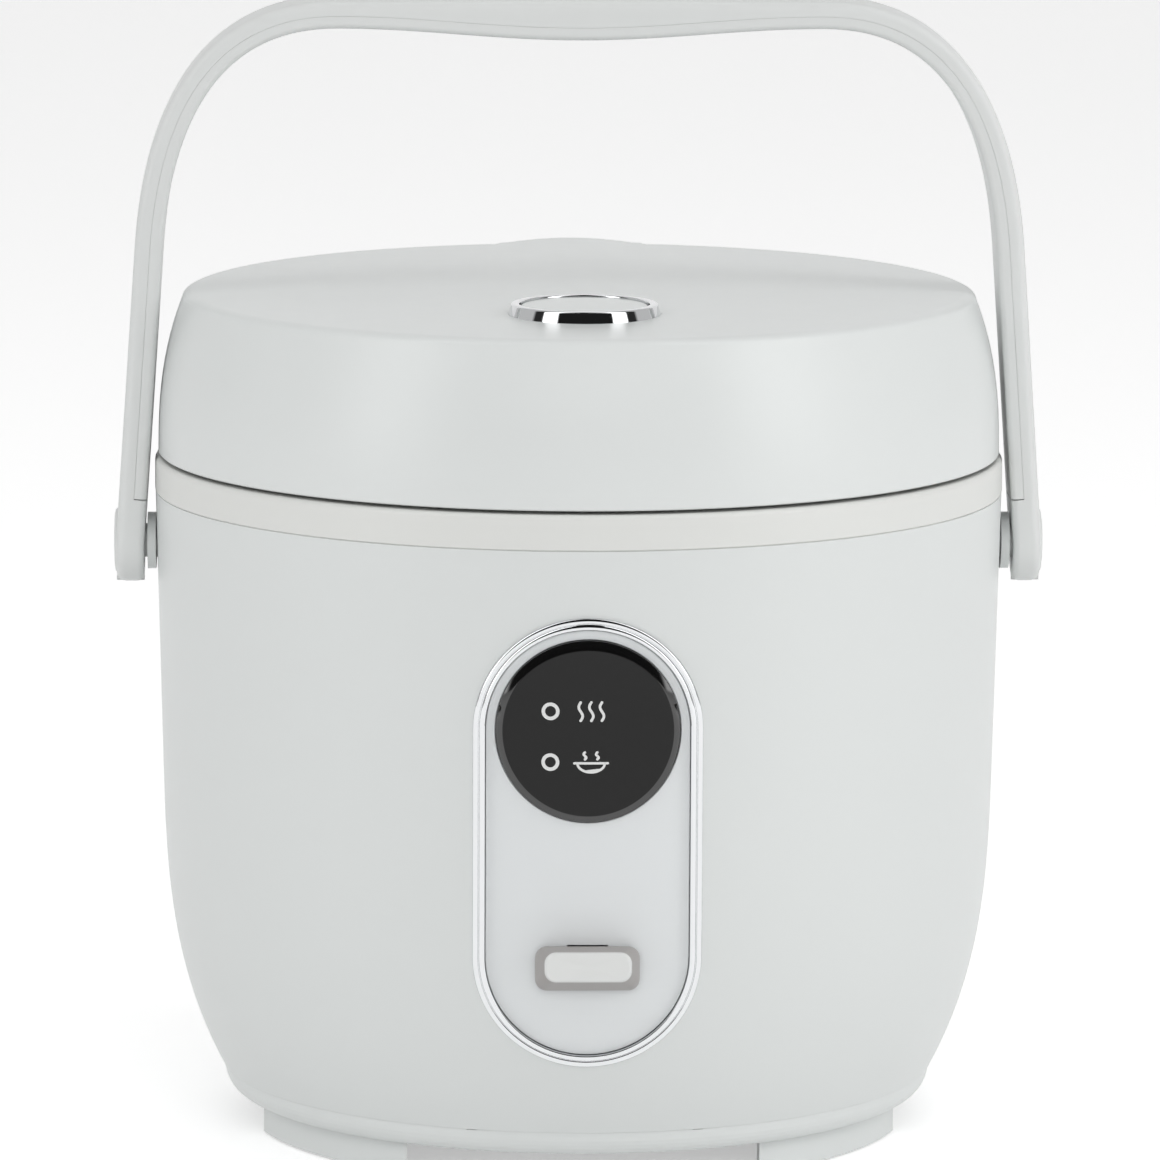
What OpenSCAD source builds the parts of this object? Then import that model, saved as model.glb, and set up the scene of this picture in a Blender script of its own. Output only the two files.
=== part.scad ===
// Mini electric rice cooker: lift-up lid, push-to-cook lever and a bail handle.
// Millimetres. +Z up, +Y to the rear, +X to the right. The origin is on the table, under the body's axis.

/* [Pot and heat] */
// Outer diameter of the inner pot below its flange
pot_d = 154.4; // [140:0.2:180]
// Depth of the inner pot from flange to bottom
pot_h = 88; // [70:1:110]
// Sheet thickness of the inner pot
pot_t = 1.2; // [0.8:0.1:2]
// Width of the pot's flange beyond its wall
flange_w = 5.6; // [4.4:0.2:6]
// Bottom corner radius of the pot
pot_corner = 12; // [6:1:20]
// Air gap between pot and heat liner
liner_gap = 3.3; // [2.6:0.1:6]
// Sheet thickness of the heat liner
liner_t = 1; // [0.6:0.1:1.5]
// Diameter of the heating plate
plate_d = 130; // [100:1:134]
// Thickness of the heating plate
plate_t = 9; // [8.4:0.2:14]
// Height of the legs that carry the heating plate
leg_h = 7; // [6:0.5:12]
// Distance of the heating element's ring inside the plate's edge
element_in = 19; // [17:0.5:24]
// Tube diameter of the heating element
element_tube = 7; // [6:0.2:8]

/* [Body] */
// Wall thickness of the plastic shells
wall = 2.4; // [2:0.1:2.8]
// Radial space between heat liner and outer shell at the collar
jacket = 16.1; // [15.5:0.1:24]
// Clear height under the base cover
foot_h = 8.1; // [6:0.1:12]
// Height of the base cover's rounded skirt
skirt_h = 5.8; // [5:0.1:8]
// Inward tuck of the shell's lower end, on the radius
tuck = 12.3; // [6:0.1:13]
// Height over which the tuck fades out
tuck_h = 72; // [50:1:80]
// Radius gained per millimetre of height by the upper wall
draft = 0.024; // [0.01:0.002:0.03]
// Height of the works compartment between base cover and heat liner
works_h = 41.5; // [40.5:0.5:60]
// Height of the collar ring's outer face
collar_h = 8.3; // [7:0.1:12]
// Height of the collar rim above the pot flange's seat
rim_up = 2.9; // [2.6:0.1:5]

/* [Feet] */
// Radial width of each arc-shaped foot
foot_w = 10.5; // [8:0.5:12]
// Angle from the front or rear axis to the near end of a foot, at its outer edge
foot_a0 = 31.7; // [25:0.1:40]
// Angle spanned by one foot
foot_span = 44.3; // [25:0.1:50]
// Diameter of the rubber pads under the feet
pad_d = 7; // [5:0.5:7.5]
// Distance of the base screws from the middle plane
base_screw_x = 26; // [24:1:30]

/* [Front panel] */
// Height of the panel's centre above the table
panel_z = 83.6; // [78:0.2:95]
// Outer width of the chrome trim ring
trim_w = 52.2; // [48:0.2:56]
// Outer height of the chrome trim ring
trim_h = 105; // [98:0.5:108]
// Band width of the chrome trim ring
trim_band = 2.8; // [2:0.1:3.6]
// How far the trim ring stands proud of the shell
trim_proud = 1.1; // [0.4:0.1:2]
// Diameter of the black indicator disc
disc_d = 42; // [34:0.5:43]
// Gap between the indicator disc and the trim ring above it
disc_gap = 2.3; // [2:0.1:5]
// Sideways offset of the two indicator lights
light_x = -8.6; // [-10:0.2:-5]
// Height between the two indicator lights
light_pitch = 11.7; // [9:0.1:14]
// Diameter of an indicator light pipe
light_d = 2.4; // [2:0.1:3]

/* [Cook lever] */
// Width of the lever key's base
key_w = 24.1; // [16:0.1:28]
// Height of the lever key's base
key_h = 10.9; // [9:0.1:13]
// Height of the key's lower edge over the trim ring's inner edge
key_rise = 15.85; // [12.25:0.05:17.25]
// How far the key stands out from its base
key_out = 8.5; // [5:0.5:12]
// Distance of the lever's pivot from the body's axis
lever_rear = 42; // [38:1:46]
// Swing of the lever in degrees when the key is pressed
lever_swing = 6; // [4:0.5:6]
// Sheet thickness of lever and bracket
sheet = 1.5; // [1:0.1:1.6]
// Diameter of the lever's pivot pin
lever_pin_d = 4; // [3:0.5:4]

/* [Thermostat] */
// Diameter of the sensor cap
cap_d = 34; // [32:0.5:38]
// Spring travel of the sensor cap
cap_travel = 1; // [0.5:0.1:1]
// Diameter of the plunger's rod
rod_d = 6; // [5:0.5:7]

/* [Lid] */
// Height of the lid shell at its crown
lid_h = 38.9; // [34:0.1:50]
// Gap between collar and lid
lid_gap = 0.8; // [0.5:0.1:1.5]
// How far the lid's side leans in at its top, on the radius
lid_lean = 6.8; // [4:0.2:8]
// Crown of the lid's top
lid_crown = 1; // [0.5:0.1:3]
// Edge radius between the lid's side and top
lid_edge = 2.4; // [2:0.2:6]
// Width of the hinge fairing at the rear of the lid
fairing_w = 37; // [34:0.5:40]
// Drop of the hinge fairing's rear edge below the lid's crown
fairing_drop = 0.4; // [0.2:0.1:1.5]
// Rise of the fairing's arched top between its sides
fairing_arch = 2; // [0.5:0.1:3]
// Distance of the inner lid's edge inside the pot's wall
inner_lid_in = 3.2; // [3.2:0.2:12]
// Diameter of the steam duct
duct_d = 14; // [10:0.5:18]

/* [Lid button and latch] */
// Outer diameter of the chrome bezel ring
bezel_d = 35.2; // [32:0.1:40]
// Band width of the chrome bezel ring
bezel_band = 2.6; // [2:0.1:3.4]
// Height of the bezel ring over the lid
bezel_up = 2.4; // [1:0.1:3]
// Inward lean of the bezel ring's outer wall, on the radius
bezel_lean = 0.6; // [0:0.1:0.8]
// Distance of the button from the body's axis
button_front = 50; // [48:0.5:52]
// Travel of the button
button_travel = 2.5; // [1.5:0.1:2.5]
// Width of the latch
latch_w = 10; // [8:0.5:12]
// Reach of the latch from its pivot forward to its hook
latch_reach = 12.5; // [12:0.1:13]

/* [Hinge] */
// Diameter of the hinge pin
hinge_pin_d = 4; // [3:0.5:5]
// Radius of the hinge knuckles
knuckle_r = 4.4; // [4.2:0.1:5]
// Width of each hinge ear on the collar
ear_w = 7; // [5:0.5:8]

/* [Handle] */
// Height of the grip's centreline above the handle's pivot
bail_rise = 125.3; // [118:0.1:150]
// Gap between the collar and the handle's arms
arm_gap = 2.6; // [2:0.1:5]
// Thickness of the handle's arms
arm_t = 6.6; // [6:0.1:8]
// Height of the handle's rounded shoulder
shoulder_h = 55.8; // [50:0.2:62]
// Inward lean of the handle's arms
arm_lean = 4.7; // [3:0.1:5]
// Width of the handle's strap
strap_w = 19; // [16:0.5:22]
// Thickness of the grip at its middle
grip_t = 9.6; // [7.5:0.1:12]
// Half length of the grip between its shoulders
shoulder_x = 57; // [45:1:65]
// Sag of the grip's middle below its shoulders
grip_sag = 1.2; // [0:0.1:4]
// Diameter of the pivot studs
stud_d = 8; // [6:0.5:9]
// Diameter of the round caps over the pivots
cap_round_d = 15.4; // [14.6:0.2:16]
// Thickness of the cover strip inside the handle
strip_t = 3; // [2:0.1:3.4]

/* [Power inlet] */
// Width of the inlet's socket
socket_w = 24.4; // [24:0.1:26]
// Height of the inlet's socket
socket_h = 16.4; // [16:0.1:18]
// Depth of the inlet's socket
socket_deep = 17; // [14:0.5:18]

/* [Fits] */
// Radial running clearance of pins in bores
run_fit = 0.05; // [0.03:0.01:0.08]
// Gap left around seated parts
seat_gap = 0.2; // [0.1:0.05:0.3]
// Gap kept between parts that move past each other
move_gap = 0.4; // [0.35:0.05:0.6]

/* [Hidden] */
$fn = 96;

// Colours
white = [0.93, 0.93, 0.92];
cream = [0.94, 0.93, 0.91];
black = [0.05, 0.05, 0.05];
chrome = [0.82, 0.83, 0.85];
steel = [0.66, 0.67, 0.69];
aluminium = [0.76, 0.77, 0.78];
copper = [0.80, 0.50, 0.25];
rubber = [0.20, 0.20, 0.20];
silicone = [0.86, 0.86, 0.84];
ferrite = [0.16, 0.16, 0.17];
board_green = [0.08, 0.35, 0.18];

// Heights, from the table up
cover_z = foot_h;
shell_z = cover_z + skirt_h;
floor_z = cover_z + wall;
liner_z = floor_z + works_h;
plate_z = liner_z + liner_t + leg_h;
plate_top = plate_z + plate_t;
deck_z = plate_top + pot_h - move_gap;
collar_top = deck_z + rim_up;
collar_z = collar_top - collar_h;
lid_z = collar_top + lid_gap;
lid_top = lid_z + lid_h;

// Radii
pot_r = pot_d / 2;
flange_r = pot_r + flange_w;
liner_r = pot_r + liner_gap;
liner_ro = liner_r + liner_t;
collar_r = liner_ro + jacket + wall;
lid_r = collar_r - 0.8;
cover_r = shell_r(shell_z) - 0.3;

// Outer radius of the shell at height z: a drafted wall with a cubic tuck at its foot
function shell_r(z) =
    collar_r - 0.1 - draft * (collar_z - z) - tuck * pow(max(0, 1 - (z - shell_z) / tuck_h), 3);
// Outer radius of the lid's side at height z
function lid_side_r(z) = lid_r - lid_lean * pow(max(0, z - lid_z) / lid_h, 2.5);
// Height of the lid's crowned top at radius r
function lid_crown_z(r) = lid_top - lid_crown * pow(r / lid_r, 2);

// Points of a list reversed, and a range of evenly spaced values
function rev(list) = [for (i = [len(list) - 1:-1:0]) list[i]];
function steps(a, b, n) = [for (i = [0:n]) a + (b - a) * i / n];
// Arc from angle a to angle b about centre c
function arc(c, r, a, b, n) = [for (t = steps(a, b, n)) [c[0] + r * cos(t), c[1] + r * sin(t)]];

// Cylinders along X and Y between two coordinates
module x_rod(r, x0, x1, y, z) translate([x0, y, z]) rotate([0, 90, 0]) cylinder(r = r, h = x1 - x0);
module y_rod(r, y0, y1, x, z) translate([x, y1, z]) rotate([90, 0, 0]) cylinder(r = r, h = y1 - y0);
module z_rod(r, z0, z1, x = 0, y = 0) translate([x, y, z0]) cylinder(r = r, h = z1 - z0);
// Ring about the axis between two radii and two heights
module z_ring(r0, r1, z0, z1) {
    translate([0, 0, z0]) rotate_extrude() translate([r0, 0]) square([r1 - r0, z1 - z0]);
}
// Box between two corners
module box(a, b) translate(a) cube(b - a);
// Two copies, one mirrored to the left
module left_right() for (s = [0, 1]) mirror([s, 0, 0]) children();

// Solid skin over a list of rings, each a list of the same number of points
module skin(rings) {
    sides = len(rings[0]);
    last = len(rings) - 1;
    side_faces = [for (i = [0:last - 1]) for (k = [0:sides - 1])
        let (a = i * sides + k, b = i * sides + (k + 1) % sides)
        each [[a, a + sides, b + sides], [a, b + sides, b]]];
    start_face = [for (k = [0:sides - 1]) k];
    end_face = [for (k = [sides - 1:-1:0]) last * sides + k];
    polyhedron([for (ring = rings) each ring], concat(side_faces, [start_face, end_face]), convexity = 8);
}

// Coil spring about Z between two heights: mean radius, wire radius, number of turns
module coil(mean_r, wire_r, z0, z1, turns, per_turn = 12, sides = 5) {
    count = turns * per_turn;
    rise = (z1 - z0 - 2 * wire_r) / count;
    skin([for (i = [0:count]) [for (k = [0:sides - 1])
        let (a = 360 * i / per_turn, t = -360 * k / sides, r = mean_r + wire_r * cos(t))
        [r * cos(a), r * sin(a), z0 + wire_r + rise * i + wire_r * sin(t)]]]);
}

// ---- Outer shell, base and feet ----

post_y = cover_r - 20;
post_r = 3.6;
post_h = 18;
rib_t = 2;
screw_r = 1.5;
head_r = 3;
head_h = 2;
inlet_z = shell_z + 22;
inlet_pad_y = shell_r(inlet_z) + 0.2;
inlet_w = socket_w + 2 * wall;
inlet_h = socket_h + 2 * wall;
flange_out = 4;
pad_w = inlet_w + 2 * flange_out + 3;
pad_h = inlet_h + 2 * flange_out + 1;
pad_in = 6;
stud_z = collar_z - 12.7;
stud_r = stud_d / 2;

// Solid of revolution of the shell's outline, moved outward by off, between two heights
module shell_solid(off, z0, z1, n = 24) {
    wall_line = [for (z = steps(z0, z1, n)) [shell_r(z) + off, z]];
    rotate_extrude() polygon(concat([[0, z0]], wall_line, [[0, z1]]));
}

module base_screw_places() for (s = [-1, 1]) for (t = [-1, 1])
    translate([s * base_screw_x, t * post_y, 0]) children();

module outer_shell() color(white) {
    difference() {
        union() {
            difference() {
                shell_solid(0, shell_z, collar_z);
                shell_solid(-wall, shell_z - 0.01, collar_z + 0.01);
            }
            intersection() {
                shell_solid(-wall / 2, shell_z, collar_z);
                base_screw_places() z_rod(post_r, shell_z, shell_z + post_h);
            }
            // ribs that tie the screw posts to the wall
            intersection() {
                shell_solid(-wall / 2, shell_z, collar_z);
                for (s = [-1, 1]) for (t = [-1, 1])
                    box([s * base_screw_x - rib_t / 2, min(t * post_y, t * collar_r), shell_z],
                        [s * base_screw_x + rib_t / 2, max(t * post_y, t * collar_r), shell_z + post_h]);
            }
            inlet_pad();
        }
        // opening for the front panel and its ring
        panel_prism(trim_w + 2 * seat_gap, trim_h + 2 * seat_gap);
        panel_screw_places() y_rod(panel_screw_r, -wall_y($z, 0.8), -liner_ro, 0, 0);
        base_screw_places() z_rod(screw_r, shell_z - 1, shell_z + post_h - 3);
        // flat recess for the inlet's flange where the wall bulges past the pad
        box([-pad_w / 2, inlet_pad_y, inlet_z - pad_h / 2], [pad_w / 2, collar_r, inlet_z + pad_h / 2]);
        // opening for the power inlet
        box([-inlet_w / 2 - seat_gap, liner_ro, inlet_z - inlet_h / 2 - seat_gap],
            [inlet_w / 2 + seat_gap, collar_r + 10, inlet_z + inlet_h / 2 + seat_gap]);
        inlet_screw_places() y_rod(screw_r, inlet_pad_y - pad_in + 1, inlet_pad_y + 1, 0, 0);
        // holes for the handle studs
        x_rod(stud_r, -collar_r - 5, collar_r + 5, 0, stud_z);
    }
}

// Flat pad on the rear wall that the power inlet seats on
module inlet_pad() {
    box([-pad_w / 2, inlet_pad_y - pad_in, inlet_z - pad_h / 2],
        [pad_w / 2, inlet_pad_y, inlet_z + pad_h / 2]);
}

skirt_r = cover_r - skirt_h * 0.67;
foot_ro = skirt_r - 2.4;
foot_mid = foot_ro - foot_w / 2;
foot_corner = 2.6;
foot_bottom = 0.5;
pad_h_rubber = 2;
boss_r = 5.2;
boss_h = 3;

module foot_places() for (s = [0, 1]) mirror([s, 0, 0]) for (t = [0, 1]) mirror([0, t, 0]) children();

// One foot, to the right of the front axis: an arc with a straight near end and cut far corners
module foot(z0, z1) difference() {
    a0 = -90 + foot_a0;
    rotate([0, 0, a0]) rotate_extrude(angle = foot_span)
        translate([foot_ro - foot_w, z0]) square([foot_w, z1 - z0]);
    box([0, -collar_r, z0 - 1], [foot_ro * sin(foot_a0), 0, z1 + 1]);
    for (r = [foot_ro, foot_ro - foot_w])
        rotate([0, 0, a0 + foot_span]) translate([r, 0, 0]) rotate([0, 0, 45])
            box([-foot_corner, -foot_corner, z0 - 1], [foot_corner, foot_corner, z1 + 1]);
}

module base_cover() color(white) {
    difference() {
        union() {
            rotate_extrude() polygon(concat(
                [[0, cover_z]],
                [for (t = steps(-90, 0, 8))
                    [skirt_r + (cover_r - skirt_r) * cos(t), shell_z + (shell_z - cover_z) * sin(t)]],
                [[cover_r - wall, shell_z], [skirt_r - wall, floor_z], [0, floor_z]]));
            // locating lip inside the shell
            z_ring(cover_r - 2 * wall - seat_gap, cover_r - wall - seat_gap, floor_z - wall / 2,
                shell_z + 3);
            foot_places() foot(foot_bottom, cover_z + 0.01);
            base_screw_places() z_rod(boss_r, cover_z, cover_z + wall + boss_h);
        }
        base_screw_places() z_rod(screw_r + 0.2, cover_z - 1, shell_z + 10);
        base_screw_places() z_rod(head_r + 0.3, cover_z - 1, cover_z + boss_h);
        // posts reach down through the lip where they meet it
        base_screw_places() z_rod(post_r + seat_gap, shell_z - seat_gap, shell_z + 10);
        for (s = [-1, 1])
            box([s * base_screw_x - rib_t / 2 - seat_gap, -collar_r, shell_z - seat_gap],
                [s * base_screw_x + rib_t / 2 + seat_gap, collar_r, shell_z + 10]);
        foot_places() rubber_place() z_rod(pad_d / 2 + 0.1, -1, pad_h_rubber);
    }
}

module rubber_place() {
    for (f = [0.25, 0.75])
        rotate([0, 0, -90 + foot_a0 + foot_span * f]) translate([foot_mid, 0, 0]) children();
}

module rubber_feet() color(rubber) foot_places() rubber_place() z_rod(pad_d / 2, 0, pad_h_rubber);

module base_screws() color(steel) base_screw_places() {
    z_rod(head_r, cover_z + boss_h - head_h, cover_z + boss_h);
    z_rod(screw_r, cover_z + boss_h, shell_z + post_h - 4);
}

// ---- Collar ring and heat liner ----

tongue_in = 5;
deck_in = pot_r + 1.4;
recess_r = flange_r + 1.2;
deck_t = 1.8;
collar_edge = 1.2;
liner_top = collar_z - 2;
boss_mid = (liner_ro + shell_r(collar_z) - wall - tongue_in) / 2 + 1.5;
collar_boss_r = 3.2;
hinge_y = collar_r + knuckle_r - 0.2;
hinge_z = collar_top + 3.5;
hinge_r = hinge_pin_d / 2;
ear_x = fairing_w / 2 - 2;
strike_y = -(liner_ro + 5.5);
slot_y0 = strike_y - 7;
latch_slot_w = latch_w + 4;

module collar_boss_places() for (a = [45, 135, 225, 315])
    rotate([0, 0, a]) translate([boss_mid, 0, 0]) children();

module collar_ring() color(cream) {
    skin_r = shell_r(collar_z) - wall - seat_gap;
    difference() {
        union() {
            rotate_extrude() polygon(concat(
                [[collar_r - 0.4, collar_z], [collar_r, collar_z + 0.4]],
                arc([collar_r - collar_edge, collar_top - collar_edge], collar_edge, 0, 90, 6),
                [[recess_r + 0.8, collar_top], [recess_r, deck_z], [deck_in, deck_z],
                    [deck_in, deck_z - deck_t - 2], [deck_in + 1.4, deck_z - deck_t - 2],
                    [deck_in + 1.4, deck_z - deck_t],
                    [skin_r - 2, deck_z - deck_t], [skin_r - 2, collar_z - tongue_in],
                    [skin_r, collar_z - tongue_in], [skin_r, collar_z]]));
            collar_boss_places() z_rod(collar_boss_r, liner_top + liner_t, deck_z - deck_t + 0.5);
            // hinge ears at the rear
            left_right() union() {
                x_rod(knuckle_r, ear_x - ear_w, ear_x, hinge_y, hinge_z);
                box([ear_x - ear_w, collar_r - 3, collar_z], [ear_x, hinge_y + knuckle_r, collar_top - 1]);
                box([ear_x - ear_w, hinge_y - knuckle_r, collar_top - 1],
                    [ear_x, hinge_y + knuckle_r, hinge_z]);
            }
            // bridge between the ears
            box([-ear_x, collar_r - 3, collar_z], [ear_x, hinge_y + knuckle_r, collar_z + 2.4]);
        }
        collar_boss_places() z_rod(1.2, liner_top, deck_z - deck_t - 0.6);
        x_rod(hinge_r, -ear_x - 1, ear_x + 1, hinge_y, hinge_z);
        // slot for the latch hook and seat for its strike plate
        box([-latch_slot_w / 2, slot_y0, deck_z - deck_t - 3],
            [latch_slot_w / 2, strike_y, collar_top + 1]);
        box([-strike_w / 2 - seat_gap, strike_y - seat_gap, deck_z - deck_t - 1],
            [strike_w / 2 + seat_gap, strike_y + strike_deep + seat_gap, deck_z + 0.01]);
    }
}

strike_w = latch_slot_w + 4;
strike_deep = 3.4;
module latch_strike() color(steel) {
    box([-strike_w / 2, strike_y, deck_z - deck_t], [strike_w / 2, strike_y + strike_deep, deck_z - 0.1]);
}

module collar_screws() color(steel) collar_boss_places() {
    z_rod(2.4, liner_top - 1.6, liner_top);
    z_rod(1.2, liner_top, liner_top + liner_t + 4);
}

stud_hole_r = cap_d / 2 + 1.6;
element_r = plate_d / 2 - element_in;
element_a = 300;
element_wire = element_tube / 2;
element_end_a = 5;
leg_foot_r = 4;
leg_r = element_r + element_wire + leg_foot_r + 0.5;
leg_bolt_r = 2;
bracket_y0 = -(lever_rear + 12);
bracket_y1 = -(lever_rear - 12);
bracket_x = 16;
module leg_places() for (a = [90, 210, 330]) rotate([0, 0, a]) translate([leg_r, 0, 0]) children();

module heat_liner() color(steel) {
    difference() {
        union() {
            z_ring(liner_r, liner_ro, liner_z, liner_top + liner_t);
            z_rod(liner_ro, liner_z, liner_z + liner_t);
            z_ring(liner_ro - 0.1, liner_ro + 2, liner_top, liner_top + liner_t);
            // tabs under the collar's bosses
            collar_boss_places() box([-(boss_mid - liner_ro) - 0.2, -collar_boss_r, liner_top],
                [collar_boss_r, collar_boss_r, liner_top + liner_t]);
        }
        collar_boss_places() z_rod(1.3, liner_top - 1, liner_top + liner_t + 1);
        z_rod(stud_hole_r, liner_z - 1, liner_z + liner_t + 1);
        leg_places() z_rod(leg_bolt_r + 0.1, liner_z - 1, liner_z + liner_t + 1);
        bracket_screw_places() z_rod(screw_r + 0.1, liner_z - 1, liner_z + liner_t + 1);
        element_ends() z_rod(4.4, liner_z - 1, liner_z + liner_t + 1);
    }
}

module inner_pot() color(aluminium) {
    rim_z = deck_z + move_gap;
    ri = pot_r - pot_t;
    bend = pot_corner;
    rotate_extrude() polygon(concat(
        [[0, plate_top]],
        arc([pot_r - bend, plate_top + bend], bend, -90, 0, 8),
        [[pot_r, rim_z], [flange_r, rim_z], [flange_r, rim_z + pot_t], [ri, rim_z + pot_t]],
        arc([pot_r - bend, plate_top + bend], bend - pot_t, 0, -90, 8),
        [[0, plate_top + pot_t]]));
}

module element_ends() for (a = [-1, 1] * (element_a / 2 - element_end_a))
    rotate([0, 0, 90 + a]) translate([element_r, 0, 0]) children();

module heating_plate() color(aluminium) {
    difference() {
        union() {
            z_rod(plate_d / 2 - 1.2, plate_z, plate_top);
            z_rod(plate_d / 2, plate_z, plate_top - 1.2);
            leg_places() z_rod(6, plate_z - 1, plate_z + 0.1);
        }
        z_rod(cap_d / 2 + 1.2, plate_z - 2, plate_top + 1);
        leg_places() z_rod(leg_bolt_r, plate_z - 2, plate_z + 6);
        // groove that the element lies in
        rotate_extrude() translate([element_r, plate_z + 1]) circle(r = element_wire + 0.1);
    }
}

module heating_element() color(steel) {
    rotate([0, 0, 90 - element_a / 2]) rotate_extrude(angle = element_a)
        translate([element_r, plate_z + 1]) circle(r = element_wire);
    element_ends() {
        z_rod(element_wire - 0.5, plate_z - 4, plate_z + 1);
        z_rod(1, liner_z - 5, plate_z - 4);
    }
}

module plate_legs() color(steel) leg_places() {
    z_rod(leg_foot_r, liner_z + liner_t, plate_z - 1);
    z_rod(leg_bolt_r, liner_z - 1, plate_z + 5);
    z_rod(3.6, liner_z - 3, liner_z);
}

// ---- Magnetic thermostat in the middle of the plate ----

cap_t = 1.2;
cap_top = plate_top - 0.3;
cap_bottom = liner_z - 2;
ferrite_t = 3.6;
ferrite_z = cap_top - cap_t - ferrite_t;
tip_lift = lever_rear * sin(lever_swing);
magnet_gap = tip_lift + 0.3;
magnet_top = ferrite_z - magnet_gap;
magnet_h = 5.4;
carrier_h = 2.2;
frame_z = liner_z - 10.4;
frame_t = 1.4;
frame_r = cap_d / 2 + 2.4;
web_z = liner_z - 20.5;
rod_play = cap_travel + move_gap;
rod_bottom = web_z + sheet + rod_play;

module thermostat_frame() color(steel) {
    difference() {
        union() {
            z_rod(frame_r, frame_z, frame_z + frame_t);
            left_right() box([frame_r - 2, -6, frame_z], [frame_r, 6, liner_z]);
            left_right() box([frame_r - 2, -6, liner_z - 1.2], [frame_r + 6, 6, liner_z]);
        }
        z_rod(rod_d / 2 + move_gap, frame_z - 1, frame_z + frame_t + 1);
    }
}

module sensor_cap() color(aluminium) {
    difference() {
        z_rod(cap_d / 2, cap_bottom, cap_top);
        z_rod(cap_d / 2 - 1, cap_bottom - 1, cap_top - cap_t);
    }
}

module ferrite_disc() color(ferrite) z_rod(cap_d / 2 - 1.1, ferrite_z, cap_top - cap_t);

module magnet_plunger() color(ferrite) {
    z_rod(cap_d / 2 - 4.8, magnet_top - magnet_h, magnet_top);
    z_rod(cap_d / 2 - 2, magnet_top - magnet_h - carrier_h, magnet_top - magnet_h);
    z_rod(rod_d / 2, rod_bottom, magnet_top - magnet_h);
}

module plunger_spring() color(steel) {
    coil(cap_d / 2 - 3, 0.5, magnet_top - magnet_h + 0.05, ferrite_z - 0.05, 3);
}

module sensor_spring() color(steel) {
    coil(cap_d / 2 - 0.6, 0.6, frame_z + frame_t + 0.05, cap_bottom - 0.05, 3);
}

// ---- Cook lever, its bracket and switch ----

pivot_y = -lever_rear;
pivot_z = liner_z - 14;
lever_x = 6;
cheek_x = lever_x + move_gap;
riser_y = -(liner_ro + 4.8);
key_z = panel_z - trim_h / 2 + trim_band + key_rise + key_h / 2;
key_y = -(shell_r(key_z) + 0.5);
neck_top = key_z + key_h / 2 - 1.2;
neck_t = 2;
neck_x = 4;
neck_out = 3.5;
pin_r = lever_pin_d / 2;
switch_y = pivot_y - 11;
switch_travel = 11 * sin(lever_swing);
switch_top = web_z - 2.4;
switch_h = 10.4;
switch_z = switch_top - switch_h;

module bracket_screw_places() for (s = [-1, 1]) translate([s * bracket_x, pivot_y, 0]) children();

module lever_bracket() color(steel) {
    difference() {
        union() {
            box([-bracket_x - 5, bracket_y0, liner_z - sheet], [bracket_x + 5, bracket_y1, liner_z]);
            left_right() box([cheek_x, bracket_y0 - 6, switch_z], [cheek_x + sheet, bracket_y1, liner_z]);
        }
        x_rod(pin_r, -20, 20, pivot_y, pivot_z);
        bracket_screw_places() z_rod(screw_r, liner_z - 5, liner_z + 1);
        switch_screw_places() x_rod(1.2, -20, 20, 0, 0);
    }
}

module bracket_screws() color(steel) bracket_screw_places() {
    z_rod(head_r, liner_z - sheet - head_h, liner_z - sheet);
    z_rod(screw_r, liner_z - sheet, liner_z + liner_t + 2);
}

module lever_pin() color(steel) {
    x_rod(pin_r, -cheek_x - sheet - 1, cheek_x + sheet + 1, pivot_y, pivot_z);
    left_right() x_rod(pin_r + 1, cheek_x + sheet + 0.1, cheek_x + sheet + 1, pivot_y, pivot_z);
}

module cook_lever() color(steel) {
    difference() {
        union() {
            box([-lever_x, riser_y, web_z], [lever_x, 3, web_z + sheet]);
            left_right() union() {
                box([lever_x - sheet, pivot_y - 9, web_z], [lever_x, pivot_y + 9, web_z + 5]);
                box([lever_x - sheet, pivot_y - 4, web_z], [lever_x, pivot_y + 4, pivot_z]);
                x_rod(4, lever_x - sheet, lever_x, pivot_y, pivot_z);
            }
            box([-lever_x, riser_y, web_z], [lever_x, riser_y + sheet, neck_top]);
            box([-neck_x, key_y - neck_out, neck_top - neck_t], [neck_x, riser_y + sheet, neck_top]);
        }
        x_rod(pin_r + run_fit, -20, 20, pivot_y, pivot_z);
    }
}

// Rounded rectangle plate facing the front, with its front face at y
module key_plate(w, h, r, y, z, t) {
    translate([0, y + t, z]) rotate([90, 0, 0]) linear_extrude(t)
        for (sx = [-1, 1]) for (sz = [-1, 1])
            translate([sx * (w / 2 - r), sz * (h / 2 - r)]) circle(r = r, $fn = 24);
}

module lever_key() color(white) {
    face_w = key_w - 4.8;
    face_h = key_h - 4.2;
    difference() {
        hull() {
            key_plate(key_w, key_h, 2.6, key_y - 1.2, key_z, 1.2);
            key_plate(face_w, face_h, 2, key_y - key_out, key_z + (key_h - face_h) / 2 - 0.2, 0.6);
        }
        box([-neck_x - 0.05, key_y - neck_out - 0.1, neck_top - neck_t - 0.05],
            [neck_x + 0.05, key_y + 1, neck_top + 0.05]);
    }
}

module switch_screw_places() for (y = [-4, 10]) translate([0, switch_y + y, switch_z + 2.6]) children();

module micro_switch() color(black) {
    difference() {
        box([-lever_x, switch_y - 8, switch_z], [lever_x, switch_y + 15, switch_top]);
        box([-1.6, switch_y - 1.9, switch_top - switch_travel - 1], [1.6, switch_y + 1.9, switch_top + 1]);
        switch_screw_places() x_rod(1.2, -20, 20, 0, 0);
    }
    for (y = [-5, 3, 11]) box([-3, switch_y + y, switch_z - 4], [3, switch_y + y + 0.8, switch_z]);
}

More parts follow.
